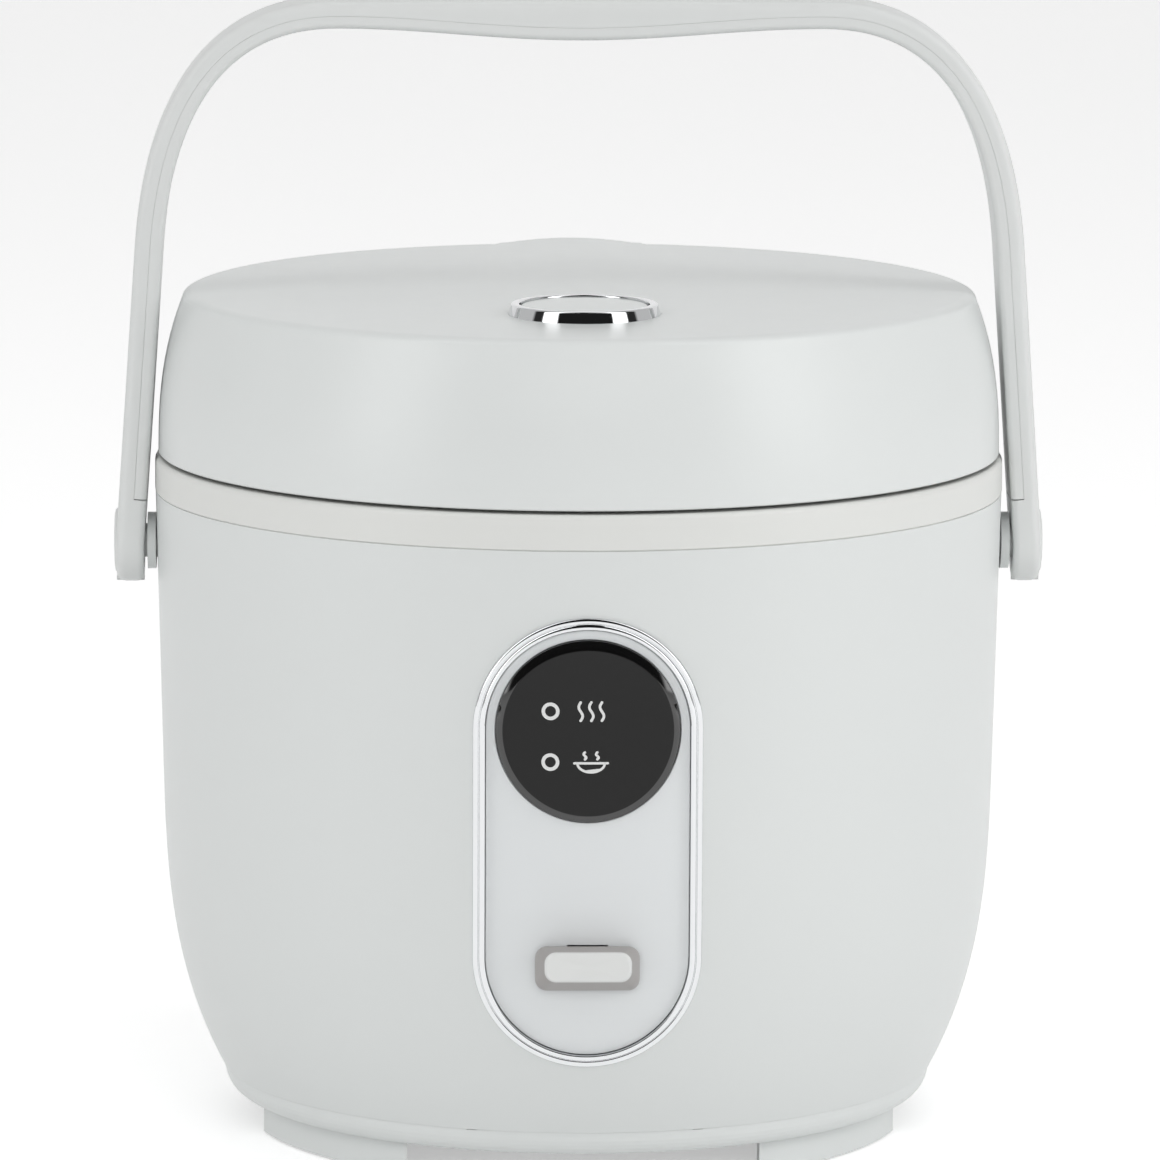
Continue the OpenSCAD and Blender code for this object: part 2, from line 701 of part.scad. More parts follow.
module switch_button() color([0.75, 0.2, 0.15]) {
    box([-1.3, switch_y - 1.6, switch_top - 0.7], [1.3, switch_y + 1.6, web_z - move_gap]);
}

module switch_screws() color(steel) switch_screw_places() {
    x_rod(1.2, -cheek_x - sheet - 1.4, cheek_x + sheet + 1.4, 0, 0);
    left_right() x_rod(2.2, cheek_x + sheet, cheek_x + sheet + 1.4, 0, 0);
}

// ---- Small electrical parts ----

warm_x = 46;
warm_y = 22;
fuse_x = 45;
fuse_half = 11;
fuse_lead = 6;
module keep_warm_thermostat() color(black) translate([warm_x, warm_y, 0]) {
    z_rod(8, liner_z - 7, liner_z - 0.8);
    color(steel) z_rod(8.6, liner_z - 0.8, liner_z);
    for (s = [-1, 1]) color(steel) box([s * 4 - 0.4, -2.5, liner_z - 13], [s * 4 + 0.4, 2.5, liner_z - 7]);
}

module thermal_fuse() color(cream) {
    x_rod(3, -fuse_x - fuse_half, -fuse_x + fuse_half, warm_y, liner_z - 3);
    color(steel) x_rod(0.6, -fuse_x - fuse_half - fuse_lead, -fuse_x + fuse_half + fuse_lead, warm_y,
        liner_z - 3);
}

flange_t = 2;
pin_long = 14;
line_pin_x = 7;
line_pin_down = 0.6;
module inlet_screw_places() for (s = [-1, 1])
    translate([s * (inlet_w / 2 + flange_out - 0.6), 0, inlet_z]) children();

module power_inlet() color(black) {
    difference() {
        union() {
            box([-inlet_w / 2, inlet_pad_y - socket_deep - wall, inlet_z - inlet_h / 2],
                [inlet_w / 2, inlet_pad_y + flange_t, inlet_z + inlet_h / 2]);
            box([-inlet_w / 2 - flange_out, inlet_pad_y, inlet_z - inlet_h / 2 - 1.5],
                [inlet_w / 2 + flange_out, inlet_pad_y + flange_t, inlet_z + inlet_h / 2 + 1.5]);
        }
        box([-socket_w / 2, inlet_pad_y + flange_t - socket_deep, inlet_z - socket_h / 2],
            [socket_w / 2, inlet_pad_y + flange_t + 1, inlet_z + socket_h / 2]);
        inlet_pin_places() box([-1, -40, -2], [1, 0, 2]);
        inlet_screw_places() y_rod(screw_r, inlet_pad_y - 1, inlet_pad_y + flange_t + 1, 0, 0);
    }
}

module inlet_screws() color(steel) inlet_screw_places() {
    y_rod(screw_r, inlet_pad_y - 4, inlet_pad_y + flange_t, 0, 0);
    y_rod(head_r - 0.4, inlet_pad_y + flange_t, inlet_pad_y + flange_t + 1, 0, 0);
}

module inlet_pin_places() {
    for (p = [[-line_pin_x, -line_pin_down], [line_pin_x, -line_pin_down], [0, 3.4]])
        translate([p[0], inlet_pad_y + flange_t - socket_deep + 8, inlet_z + p[1]]) children();
}

module inlet_pins() color(copper) {
    inlet_pin_places() translate([0, pin_long - 8, 0]) box([-1, -pin_long - wall - 6, -2], [1, 0, 2]);
}

// Insulated wire swept through a list of points
module wire(points, r = 1.1, sides = 8) {
    last = len(points) - 1;
    skin([for (i = [0:last])
        let (d = points[min(i + 1, last)] - points[max(i - 1, 0)],
            u = cross(d, [0.31, 0.27, 0.91]), v = cross(d, u))
        [for (k = [0:sides - 1])
            points[i] + r * (cos(360 * k / sides) * u / norm(u) + sin(360 * k / sides) * v / norm(v))]]);
}

pin_back_y = inlet_pad_y + flange_t - socket_deep - wall - 5.5;
wire_z = floor_z + 3;
wire_x = 36;
module wiring() color([0.75, 0.1, 0.1]) for (s = [-1, 1]) {
    end_x = s * element_r * sin(30);
    end_y = -element_r * cos(30);
    wire([[s * line_pin_x, pin_back_y - 2.2, inlet_z - line_pin_down],
        [s * wire_x * 2 / 3, pin_back_y - 14, wire_z], [s * wire_x, 0, wire_z],
        [end_x, end_y, wire_z], [end_x, end_y, liner_z - 6.2]]);
}

// ---- Front panel, trim ring, indicators ----

panel_screw_r = 1.3;
panel_head_r = 2.4;
lip_t = 2;
lip_w = 4;
panel_in = 0.3;
disc_z = panel_z + trim_h / 2 - trim_band - disc_gap - disc_d / 2;
disc_proud = 0.8;
disc_deep = 1.2;
board_y = -(liner_ro + 6);
board_t = 1.6;
lip_y = -(shell_r(panel_z) - wall - lip_t);

// Oval prism along Y through the front wall, centred on the panel
module panel_prism(w, h, z = panel_z) {
    translate([0, -liner_ro - 2, z]) rotate([90, 0, 0]) linear_extrude(jacket + 12) union() {
        if (h > w) square([w, h - w], center = true);
        for (s = [-1, 1]) translate([0, s * (h - w) / 2]) circle(d = w);
    }
}

// Layer of the front wall between two offsets from the shell's outline
module wall_layer(off0, off1) {
    z0 = panel_z - trim_h / 2 - 12;
    z1 = panel_z + trim_h / 2 + 6;
    difference() {
        shell_solid(off1, z0, z1, 20);
        shell_solid(off0, z0 - 0.01, z1 + 0.01, 20);
    }
}

ear_screw_x = trim_w / 2 + lip_w + 2;
ear_screw_z = (trim_h - trim_w) * 0.45;
ear_r = 4;
// Distance from the middle plane to a surface depth inside the shell, at a panel screw of height z
function wall_y(z, depth) = sqrt(pow(shell_r(z) - depth, 2) - pow(ear_screw_x, 2));
module panel_screw_places() for (s = [-1, 1]) for (t = [-1, 1])
    let ($z = panel_z + t * ear_screw_z) translate([s * ear_screw_x, 0, $z]) children();

module front_panel() color(white) {
    inner_w = trim_w - 2 * trim_band - 2 * seat_gap;
    inner_h = trim_h - 2 * trim_band - 2 * seat_gap;
    difference() {
        union() {
            intersection() {
                panel_prism(inner_w, inner_h);
                wall_layer(-wall - lip_t, -panel_in);
            }
            // lip behind the wall, with ears for the screws
            intersection() {
                union() {
                    panel_prism(trim_w + 2 * lip_w, trim_h + 2 * lip_w);
                    panel_screw_places() y_rod(ear_r, -collar_r, -liner_ro, 0, 0);
                }
                wall_layer(-wall - lip_t, -wall - 0.05);
            }
            // posts for the indicator board
            board_post_places() y_rod(2.6, lip_y - 1, board_y - 0.05, 0, 0);
        }
        // seat of the indicator disc
        intersection() {
            panel_prism(disc_d + 2 * seat_gap, disc_d + 2 * seat_gap, disc_z);
            wall_layer(-disc_deep, 4);
        }
        light_places() y_rod(light_d / 2 + 0.1, -collar_r - 5, -liner_ro, 0, 0);
        // slot for the lever's neck, hidden behind the key while it is up
        slot_low = neck_top - neck_t - (-key_y - lever_rear + neck_out) * sin(lever_swing) - 1.2;
        box([-neck_x - 0.7, -collar_r - 5, slot_low], [neck_x + 0.7, -liner_ro, neck_top + 1]);
        panel_screw_places() y_rod(panel_screw_r + 0.1, -collar_r, -liner_ro, 0, 0);
        panel_screw_places() y_rod(panel_head_r + 0.2, -wall_y($z, wall + lip_t / 2), -liner_ro, 0, 0);
    }
    // staked pins that hold the indicator board
    board_post_places() {
        y_rod(1, board_y - 1, board_y + board_t + 0.6, 0, 0);
        y_rod(1.9, board_y + board_t + 0.05, board_y + board_t + 0.9, 0, 0);
    }
}

module panel_screws() color(steel) panel_screw_places() {
    seat_y = -wall_y($z, wall + lip_t / 2);
    y_rod(panel_head_r, seat_y, seat_y + 1.6, 0, 0);
    y_rod(panel_screw_r - 0.05, -wall_y($z, 1), seat_y, 0, 0);
}

module trim_ring() color(chrome) {
    intersection() {
        difference() {
            panel_prism(trim_w, trim_h);
            panel_prism(trim_w - 2 * trim_band, trim_h - 2 * trim_band);
        }
        wall_layer(-wall, trim_proud);
    }
}

module light_places() for (s = [-1, 1])
    translate([light_x, 0, disc_z - 1 + s * light_pitch / 2]) children();

module indicator_disc() color(black) {
    difference() {
        intersection() {
            panel_prism(disc_d, disc_d, disc_z);
            wall_layer(-disc_deep + 0.05, disc_proud);
        }
        light_places() y_rod(light_d / 2 + 0.05, -collar_r - 5, -liner_ro, 0, 0);
    }
}

module light_pipes() color([0.9, 0.9, 0.88]) {
    face_y = -sqrt(pow(shell_r(disc_z) + disc_proud, 2) - pow(light_x, 2));
    light_places() y_rod(light_d / 2, face_y, board_y - 3.4, 0, 0);
}

board_w = disc_d - 4;
board_up = 10;
board_down = 12;
module board_post_places() for (s = [-1, 1]) translate([s * (board_w / 2 - 4), 0, disc_z - 1]) children();

module indicator_board() color(board_green) {
    difference() {
        box([-board_w / 2, board_y, disc_z - board_down],
            [board_w / 2, board_y + board_t, disc_z + board_up]);
        board_post_places() y_rod(1.1, board_y - 1, board_y + board_t + 1, 0, 0);
    }
}

module indicator_leds() color([0.85, 0.3, 0.2]) light_places() {
    y_rod(1.5, board_y - 3.2, board_y, 0, 0);
    y_rod(1.9, board_y - 0.8, board_y, 0, 0);
}

// ---- Handle ----

arm_in = collar_r + arm_gap;
arm_out = arm_in + arm_t;
arm_mid = arm_in + arm_t / 2;
lug_r = strap_w / 2 + 0.1;
arm_h = bail_rise - shoulder_h;
corner_pull = 34.5;
shoulder_pull = 28.3;
washer_r = 6;
// Arm's thickness left under the screw's washer
washer_web = 3.2;
// Share of the arm's height below the cover strip
strip_from = 0.16;
strip_joint = 0.2;
shoulder_r = stud_r + 2.7;
cap_round_t = 2.2;

// Cubic curve through its end points a and d, pulled by b and c
function cubic(a, b, c, d, t) =
    a * pow(1 - t, 3) + b * 3 * t * pow(1 - t, 2) + c * 3 * t * t * (1 - t) + d * pow(t, 3);
// Share of the grip's swell at distance x from the middle
function swell(x) = abs(x) < shoulder_x ? (1 + cos(180 * x / shoulder_x)) / 2 : 0;

// Centreline of the right half, from the lug up and over to the middle: [x, height over the pivot]
lean_dir = [-arm_lean, arm_h] / norm([arm_lean, arm_h]);
arm_top_pt = [arm_mid - arm_lean, arm_h];
shoulder_pt = [shoulder_x, bail_rise];
half_path = concat(
    [for (h = [0, strip_from / 2, strip_from - 0.01, strip_from, strip_from + 0.005, 0.65])
        [arm_mid - arm_lean * h, arm_h * h]],
    [for (t = steps(0, 1, 12)) cubic(arm_top_pt, arm_top_pt + corner_pull * lean_dir,
        shoulder_pt + [shoulder_pull, 0], shoulder_pt, t)],
    [for (x = steps(shoulder_x * 5 / 6, 0, 5)) [x, bail_rise - grip_sag * swell(x)]]);
left_half = rev([for (i = [0:len(half_path) - 2]) [-half_path[i][0], half_path[i][1]]]);
bail_path = concat(half_path, left_half);
// Station where the strap gets thinner to make room for the cover strip
strip_first = 3;

function bail_thick(p) = arm_t + (grip_t - arm_t) * swell(p[0]);
// Outward normal of the centreline at station i
function bail_normal(i) = let (n = len(bail_path),
    d = bail_path[min(i + 1, n - 1)] - bail_path[max(i - 1, 0)]) [d[1], -d[0]] / norm(d);

// Section corners as [outward offset, y]: low is the inner side, high the outer, each with its edge radius
function section(low, high, r_low, r_high) = let (
    low_edge = [for (t = r_low > 0 ? [0, 45, 90] : [0])
        [low + r_low * (1 - cos(t)), -strap_w / 2 + r_low * (1 - sin(t))]],
    high_edge = [for (t = r_high > 0 ? [90, 45, 0] : [0])
        [high - r_high * (1 - cos(t)), -strap_w / 2 + r_high * (1 - sin(t))]],
    front = concat(low_edge, high_edge))
    concat(front, [for (p = rev(front)) [p[0], -p[1]]]);

// Solid swept along stations of the bail path, one section per station
module bail_sweep(stations, sections) {
    skin([for (j = [0:len(stations) - 1]) let (i = stations[j], p = bail_path[i], n = bail_normal(i))
        [for (s = sections[j]) [p[0] + n[0] * s[0], s[1], stud_z + p[1] + n[1] * s[0]]]]);
}

module handle_bow() color(white) {
    last = len(bail_path) - 1;
    stations = [for (i = [0:last]) i];
    difference() {
        union() {
            bail_sweep(stations, [for (i = stations) let (h = bail_thick(bail_path[i]) / 2,
                inner = i >= strip_first && i <= last - strip_first ? strip_t : 0)
                section(-h + inner, h, inner > 0 ? 0.4 : 2.2, 2.2)]);
            left_right() x_rod(lug_r, arm_in, arm_out, 0, stud_z);
        }
        left_right() {
            x_rod(stud_r + run_fit, arm_in - 1, arm_out + 1, 0, stud_z);
            x_rod(washer_r + move_gap, arm_in + washer_web, arm_out + 1, 0, stud_z);
            x_rod(cap_round_d / 2, arm_out - cap_round_t + 0.5, arm_out + 1, 0, stud_z);
        }
    }
}

// Cover strip in three lengths: one up each straight arm and one over the shoulders and the grip
module handle_strip() color(white) {
    last = len(bail_path) - 1;
    stations = [for (i = [strip_first + 1:last - strip_first - 1]) i];
    joint_z = stud_z + arm_h;
    difference() {
        bail_sweep(stations, [for (i = stations) let (h = bail_thick(bail_path[i]) / 2)
            section(-h, -h + strip_t - 0.1, 1.2, 0)]);
        box([-arm_out, -strap_w, joint_z - strip_joint], [arm_out, strap_w, joint_z]);
    }
}

module handle_caps() color(white) left_right() {
    x_rod(cap_round_d / 2 - 0.05, arm_out - cap_round_t + 0.55, arm_out + 0.1, 0, stud_z);
    x_rod(cap_round_d / 2 - 0.7, arm_out, arm_out + 0.5, 0, stud_z);
}

module handle_studs() color(white) left_right() {
    inner_x = shell_r(stud_z) - wall;
    difference() {
        union() {
            x_rod(stud_r, inner_x - 3, arm_in + washer_web - 0.1, 0, stud_z);
            x_rod(stud_r + 2.5, inner_x - 3, inner_x - 0.5, 0, stud_z);
            x_rod(shoulder_r, shell_r(stud_z + shoulder_r) + 0.05, arm_in - 2 * move_gap, 0, stud_z);
        }
        x_rod(screw_r, arm_in - 5, arm_in + 4, 0, stud_z);
    }
}

module handle_screws() color(steel) left_right() {
    seat_x = arm_in + washer_web + move_gap;
    x_rod(washer_r, seat_x, seat_x + 0.8, 0, stud_z);
    x_rod(screw_r, arm_in - 4, seat_x, 0, stud_z);
}

// ---- Lid ----

lid_skin_top = lid_top - wall;
crown_r = lid_side_r(lid_top) - lid_edge * 0.9;
fairing_top = lid_top - fairing_drop;
fairing_rear = hinge_y + knuckle_r;
fairing_low = hinge_z + knuckle_r + 0.8;
button_y = -button_front;
bezel_z = lid_crown_z(button_front) - 1.2;
bezel_top = lid_crown_z(button_front) + bezel_up;
bezel_in = bezel_d / 2 - bezel_band;
button_r = bezel_in - 0.3;
stem_r = 4;
// Well under the button: it holds the pad, its travel and the closed spring
pad_t = 5.6;
spring_room = 9;
spring_seat = bezel_top - pad_t;
well_z = spring_seat - button_travel - spring_room;
well_r = bezel_in + 0.6;
tray_z = lid_z + 2;
flare_y = 24;
flare_r = 34;

// Outline of the lid from its rim up to the middle of its crown, moved inward by off
function lid_outline(off) =
    let (top_r = crown_r - off * 0.4, top_z = lid_crown_z(top_r) - off,
        side_z = lid_top - lid_edge * 1.1, edge_r = lid_side_r(side_z) - off)
    concat(
        [for (z = steps(lid_z, side_z, 10)) [lid_side_r(z) - off, z]],
        [for (t = [22, 45, 68])
            [edge_r - (edge_r - top_r) * (1 - cos(t)), side_z + (top_z - side_z) * sin(t)]],
        [for (r = steps(top_r, 0, 8)) [r, lid_crown_z(r) - off]]);

module lid_solid(off, z_low) {
    rotate_extrude() polygon(concat([[0, z_low], [lid_r - off, z_low]], lid_outline(off)));
}

// Arched fairing over the hinge: it flares into the crown in front and falls away behind the knuckles
module fairing(off) hull() {
    half = fairing_w / 2 - off;
    flare_z = lid_crown_z(flare_y) - 2 - off;
    translate([0, flare_y + off, flare_z]) scale([1, 0.5, 1]) cylinder(r = flare_r, h = 2, $fn = 32);
    for (s = [-1, -0.5, 0, 0.5, 1])
        translate([s * (half - 5), fairing_rear - 14, fairing_top - fairing_arch * s * s - 5 - off])
            sphere(r = 5, $fn = 20);
    for (s = [-1, 1]) {
        translate([s * (half - 2), fairing_rear - 3 - off, fairing_low + 2 + off]) sphere(r = 2, $fn = 16);
        translate([s * (half - 2), collar_r - 12, fairing_low + 2 + off]) sphere(r = 2, $fn = 16);
    }
}

module lid_shell() color(white) {
    difference() {
        union() {
            lid_solid(0, lid_z);
            fairing(0);
        }
        difference() {
            union() {
                lid_solid(wall, lid_z - 0.01);
                intersection() {
                    fairing(wall);
                    box([-fairing_w, 0, lid_z], [fairing_w, fairing_rear, lid_top + 10]);
                }
            }
            // well under the button, and wall that seals the hinge bay
            z_rod(well_r + wall, well_z - wall, lid_top + 5, 0, button_y);
            left_right() box([latch_w / 2 + 1, latch_y - 5, latch_z - 4],
                [latch_w / 2 + 3, latch_y + 5, lid_top]);
            lid_post_places() z_rod(3.6, tray_z + wall, lid_top);
        }
        z_rod(well_r, well_z, lid_top + 5, 0, button_y);
        z_rod(stem_r + move_gap, well_z - wall - 1, well_z + 1, 0, button_y);
        z_rod(bezel_d / 2 + 0.05, bezel_z, lid_top + 5, 0, button_y);
        lid_post_places() z_rod(1.2, tray_z, tray_z + wall + 8);
        x_rod(latch_pin_r, -latch_w / 2 - 5, latch_w / 2 + 5, latch_y, latch_z);
        // steam outlet in the fairing's rear
        box([-grille_w / 2 - 0.1, fairing_rear - 8, grille_z - grille_h / 2 - 0.1],
            [grille_w / 2 + 0.1, fairing_rear + 5, grille_z + grille_h / 2 + 0.1]);
    }
    // knuckle lugs that turn on the hinge pin
    difference() {
        left_right() union() {
            x_rod(knuckle_r, lug_x0, lug_x1, hinge_y, hinge_z);
            box([lug_x0, lid_side_r(hinge_z) - wall, lid_z + 0.6],
                [lug_x1, hinge_y, hinge_z + knuckle_r]);
            box([lug_x0, lid_side_r(hinge_z) - wall, hinge_z],
                [lug_x1, hinge_y + knuckle_r, fairing_low + 3]);
        }
        x_rod(hinge_r + run_fit, -40, 40, hinge_y, hinge_z);
    }
}
lug_x1 = ear_x - ear_w - move_gap;
lug_x0 = lug_x1 - 4;

module lid_post_places() for (a = [20, 160, 240, 300])
    rotate([0, 0, a]) translate([lid_r - 9.5, 0, 0]) children();

latch_z = lid_z + 15;
latch_pin_r = 1.5;
module lid_liner() color(white) {
    difference() {
        union() {
            z_rod(lid_r - wall - 0.6, tray_z, tray_z + wall);
            lid_post_places() z_rod(3.6, tray_z, tray_z + wall);
        }
        // slot for the latch hook, hole for the steam duct and for the grommet
        box([-latch_slot_w / 2, -lid_r + 3, tray_z - 1],
            [latch_slot_w / 2, strike_y + 4, tray_z + wall + 1]);
        z_rod(duct_d / 2 + seat_gap, tray_z - 1, tray_z + wall + 1, 0, duct_y);
        z_rod(grommet_r, tray_z - 1, tray_z + wall + 1);
        lid_post_places() z_rod(1.4, tray_z - 1, tray_z + wall + 1);
    }
}

module lid_screws() color(steel) lid_post_places() {
    z_rod(1.2, tray_z, tray_z + wall + 6);
    z_rod(2.4, tray_z - 1.2, tray_z);
}

grommet_r = 4;
duct_y = 58;
inner_z = tray_z - 2.2;
inner_lid_r = pot_r - inner_lid_in;
module inner_lid() color(aluminium) {
    difference() {
        z_rod(inner_lid_r, inner_z, inner_z + 1.2);
        z_rod(grommet_r - 1.2, inner_z - 1, inner_z + 2);
        for (a = [0:60:300]) rotate([0, 0, a]) z_rod(1.5, inner_z - 1, inner_z + 2, 5, duct_y - 4);
        for (a = [60, 90, 120]) rotate([0, 0, a]) z_rod(1.6, inner_z - 1, inner_z + 2, duct_y, 0);
    }
}

module lid_grommet() color(silicone) {
    z_rod(grommet_r - 1.3, inner_z - 0.2, tray_z + wall + 1);
    z_rod(grommet_r + 2, inner_z - 2.2, inner_z - 0.1);
    z_rod(grommet_r - 0.1, inner_z + 1.3, tray_z + wall);
    z_rod(grommet_r + 2, tray_z + wall + 0.05, tray_z + wall + 2);
}

module lid_gasket() color(silicone) {
    lip_low = deck_z + move_gap + pot_t + move_gap;
    rotate_extrude() polygon([
        [inner_lid_r + 0.1, inner_z + 0.2], [inner_lid_r + 0.1, tray_z - 0.1],
        [flange_r + 0.8, tray_z - 0.1], [flange_r - 0.6, lip_low], [pot_r + 1, lip_low]]);
}

module steam_duct() color(white) {
    difference() {
        z_rod(duct_d / 2, inner_z + 1.4, lid_skin_top - 8, 0, duct_y);
        z_rod(duct_d / 2 - 1.4, inner_z + 1, lid_skin_top - 7, 0, duct_y);
    }
    difference() {
        z_rod(duct_d / 2 + 2, tray_z + wall, tray_z + wall + 1.4, 0, duct_y);
        z_rod(duct_d / 2 - 0.5, tray_z + wall - 1, tray_z + wall + 2, 0, duct_y);
    }
}

grille_w = fairing_w - 13;
grille_h = 12;
grille_z = fairing_low + 13;
module steam_grille() color(white) {
    difference() {
        box([-grille_w / 2, fairing_rear - 7, grille_z - grille_h / 2],
            [grille_w / 2, fairing_rear - 5, grille_z + grille_h / 2]);
        for (i = [-2:2]) translate([i * grille_w / 6, 0, 0])
            box([-1, fairing_rear - 8, grille_z - grille_h / 2 + 2],
                [1, fairing_rear, grille_z + grille_h / 2 - 2]);
    }
}

// ---- Lid button and latch ----

button_dome = 1.2;
dome_r = button_r * button_r / 2 / button_dome + button_dome / 2;
clip_z = well_z - wall - move_gap;
arm_top = clip_z - 2.2;

module bezel_ring() color(chrome) {
    translate([0, button_y, 0]) rotate_extrude() polygon(concat(
        [[bezel_in, bezel_z], [bezel_d / 2, bezel_z]],
        arc([bezel_d / 2 - bezel_lean - 0.6, bezel_top - 0.6], 0.6, 0, 90, 5),
        arc([bezel_in + 0.4, bezel_top - 0.4], 0.4, 90, 180, 3)));
}

module release_button() color(white) {
    translate([0, button_y, 0]) {
        intersection() {
            translate([0, 0, bezel_top + button_dome - 0.9 - dome_r]) sphere(r = dome_r, $fn = 128);
            z_rod(button_r, spring_seat, bezel_top + 5);
        }
        z_rod(stem_r, arm_top + move_gap, spring_seat + 1);
    }
}

module button_spring() color(steel) {
    translate([0, button_y, 0]) coil(8, 0.6, well_z + 0.05, spring_seat - 0.05, 4);
}

module button_clip() color(steel) {
    translate([0, button_y, 0]) z_ring(stem_r + 0.02, stem_r + 2.4, clip_z - 1.2, clip_z);
}

hook_t = 2.5;
hook_gap = 1;
hook_y = strike_y - hook_gap - hook_t;
latch_y = hook_y + latch_reach;
nose_top = deck_z - deck_t - move_gap;
module lid_latch() color(white) {
    half = latch_w / 2;
    difference() {
        union() {
            x_rod(3.4, -half, half, latch_y, latch_z);
            // arm under the button's stem
            box([-half, latch_y, latch_z - 1.5], [half, latch_y + 6, latch_z + 3]);
            box([-half, latch_y + 3, arm_top - 3], [half, button_y + 5, arm_top]);
            box([-half, latch_y + 1, latch_z], [half, latch_y + 5, arm_top]);
            // hook that reaches down through the collar
            box([-half, hook_y, latch_z - 1.5], [half, latch_y, latch_z + 1.5]);
            box([-half, hook_y, nose_top - 3], [half, hook_y + hook_t, latch_z + 1.5]);
            box([-half, hook_y, nose_top - 3], [half, strike_y - move_gap, nose_top]);
        }
        x_rod(latch_pin_r + run_fit, -half - 1, half + 1, latch_y, latch_z);
    }
}

module latch_pin() color(steel) {
    x_rod(latch_pin_r, -latch_w / 2 - 3, latch_w / 2 + 3, latch_y, latch_z);
}

// ---- Hinge ----

module hinge_pin() color(steel) {
    x_rod(hinge_r, -ear_x - 1, ear_x + 1, hinge_y, hinge_z);
    left_right() x_rod(hinge_r + 0.8, ear_x + 0.05, ear_x + 1, hinge_y, hinge_z);
}

module hinge_spring() color(steel) {
    translate([0, hinge_y, hinge_z]) rotate([0, 90, 0])
        coil(hinge_r + 1.2, 0.6, -lug_x0 + 0.6, lug_x0 - 0.6, 8);
}

outer_shell();
base_cover();
rubber_feet();
base_screws();
collar_ring();
collar_screws();
heat_liner();
inner_pot();
heating_plate();
heating_element();
plate_legs();
thermostat_frame();
sensor_cap();
ferrite_disc();
magnet_plunger();
plunger_spring();
sensor_spring();
lever_bracket();
bracket_screws();
lever_pin();
cook_lever();
lever_key();
micro_switch();
switch_button();
switch_screws();
keep_warm_thermostat();
thermal_fuse();
power_inlet();
inlet_screws();
inlet_pins();
wiring();
front_panel();
panel_screws();
trim_ring();
indicator_disc();
light_pipes();
indicator_board();
indicator_leds();
handle_studs();
handle_screws();
handle_bow();
handle_strip();
handle_caps();
lid_shell();
lid_liner();
lid_screws();
inner_lid();
lid_grommet();
lid_gasket();
steam_duct();
steam_grille();
bezel_ring();
release_button();
button_spring();
button_clip();
lid_latch();
latch_pin();
latch_strike();
hinge_pin();
hinge_spring();
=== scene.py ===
# Mini electric rice cooker with a hinged lid, a push-to-cook key and a swinging bail handle.
import math
import bmesh
import bpy
from mathutils import Euler, Matrix, Vector


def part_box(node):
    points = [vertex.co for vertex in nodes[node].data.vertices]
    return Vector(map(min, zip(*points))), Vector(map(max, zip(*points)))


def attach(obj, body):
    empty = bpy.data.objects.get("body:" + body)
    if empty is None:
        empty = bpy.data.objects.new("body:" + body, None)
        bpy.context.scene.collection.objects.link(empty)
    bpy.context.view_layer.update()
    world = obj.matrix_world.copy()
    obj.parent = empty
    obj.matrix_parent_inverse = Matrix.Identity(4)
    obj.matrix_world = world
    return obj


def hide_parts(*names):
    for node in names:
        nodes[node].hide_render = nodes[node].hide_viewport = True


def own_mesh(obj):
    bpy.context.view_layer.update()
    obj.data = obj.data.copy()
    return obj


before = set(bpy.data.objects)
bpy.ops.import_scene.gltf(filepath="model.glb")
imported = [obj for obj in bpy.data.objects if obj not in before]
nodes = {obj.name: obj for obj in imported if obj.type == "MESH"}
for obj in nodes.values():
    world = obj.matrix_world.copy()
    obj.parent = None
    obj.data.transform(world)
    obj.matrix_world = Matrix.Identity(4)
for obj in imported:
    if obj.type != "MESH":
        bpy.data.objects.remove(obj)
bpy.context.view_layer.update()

scene = bpy.context.scene

# ---- Camera ----
# A long lens two metres in front, a little above the lid and slightly to the left of the middle.
EYE_DISTANCE, EYE_HEIGHT = 2.0, 0.4485
view_turn = math.radians(1.4)
view_pitch = math.radians(9.08)
view_roll = math.radians(0.2)
camera_data = bpy.data.cameras.new("camera")
camera_data.sensor_width = 36
camera_data.lens = 265.3
camera_data.clip_end = 20
camera_data.shift_x = 0.0015
camera = bpy.data.objects.new("camera", camera_data)
scene.collection.objects.link(camera)
camera.location = (-EYE_DISTANCE * math.sin(view_turn), -EYE_DISTANCE * math.cos(view_turn), EYE_HEIGHT)
look = Euler((math.pi / 2 - view_pitch, 0, -view_turn)).to_matrix()
camera.rotation_euler = (look @ Matrix.Rotation(view_roll, 3, "Z")).to_euler()
scene.camera = camera

# ---- Studio ----
# White sweep under and behind the object, two tall soft boxes at the sides, one large one overhead
# and one in front. Gloss sees a dark room behind the camera between two bright strips.
scene.view_settings.view_transform = "Standard"


def link(name, mesh):
    piece = bpy.data.objects.new(name, mesh)
    scene.collection.objects.link(piece)
    return piece


def built(name, verts, faces):
    mesh = bpy.data.meshes.new(name)
    mesh.from_pydata(verts, [], faces)
    return link(name, mesh)


def add(tree, kind, inputs=None, **settings):
    """New node; each input is given a value or joined to another node's output."""
    node = tree.nodes.new(kind)
    for label, value in settings.items():
        setattr(node, label, value)
    for label, value in (inputs or {}).items():
        if isinstance(value, bpy.types.NodeSocket):
            tree.links.new(value, node.inputs[label])
        else:
            node.inputs[label].default_value = value
    return node


def number(tree, operation, *terms):
    """Output of a math node whose terms are sockets or numbers."""
    return add(tree, "ShaderNodeMath", dict(enumerate(terms)), operation=operation).outputs[0]


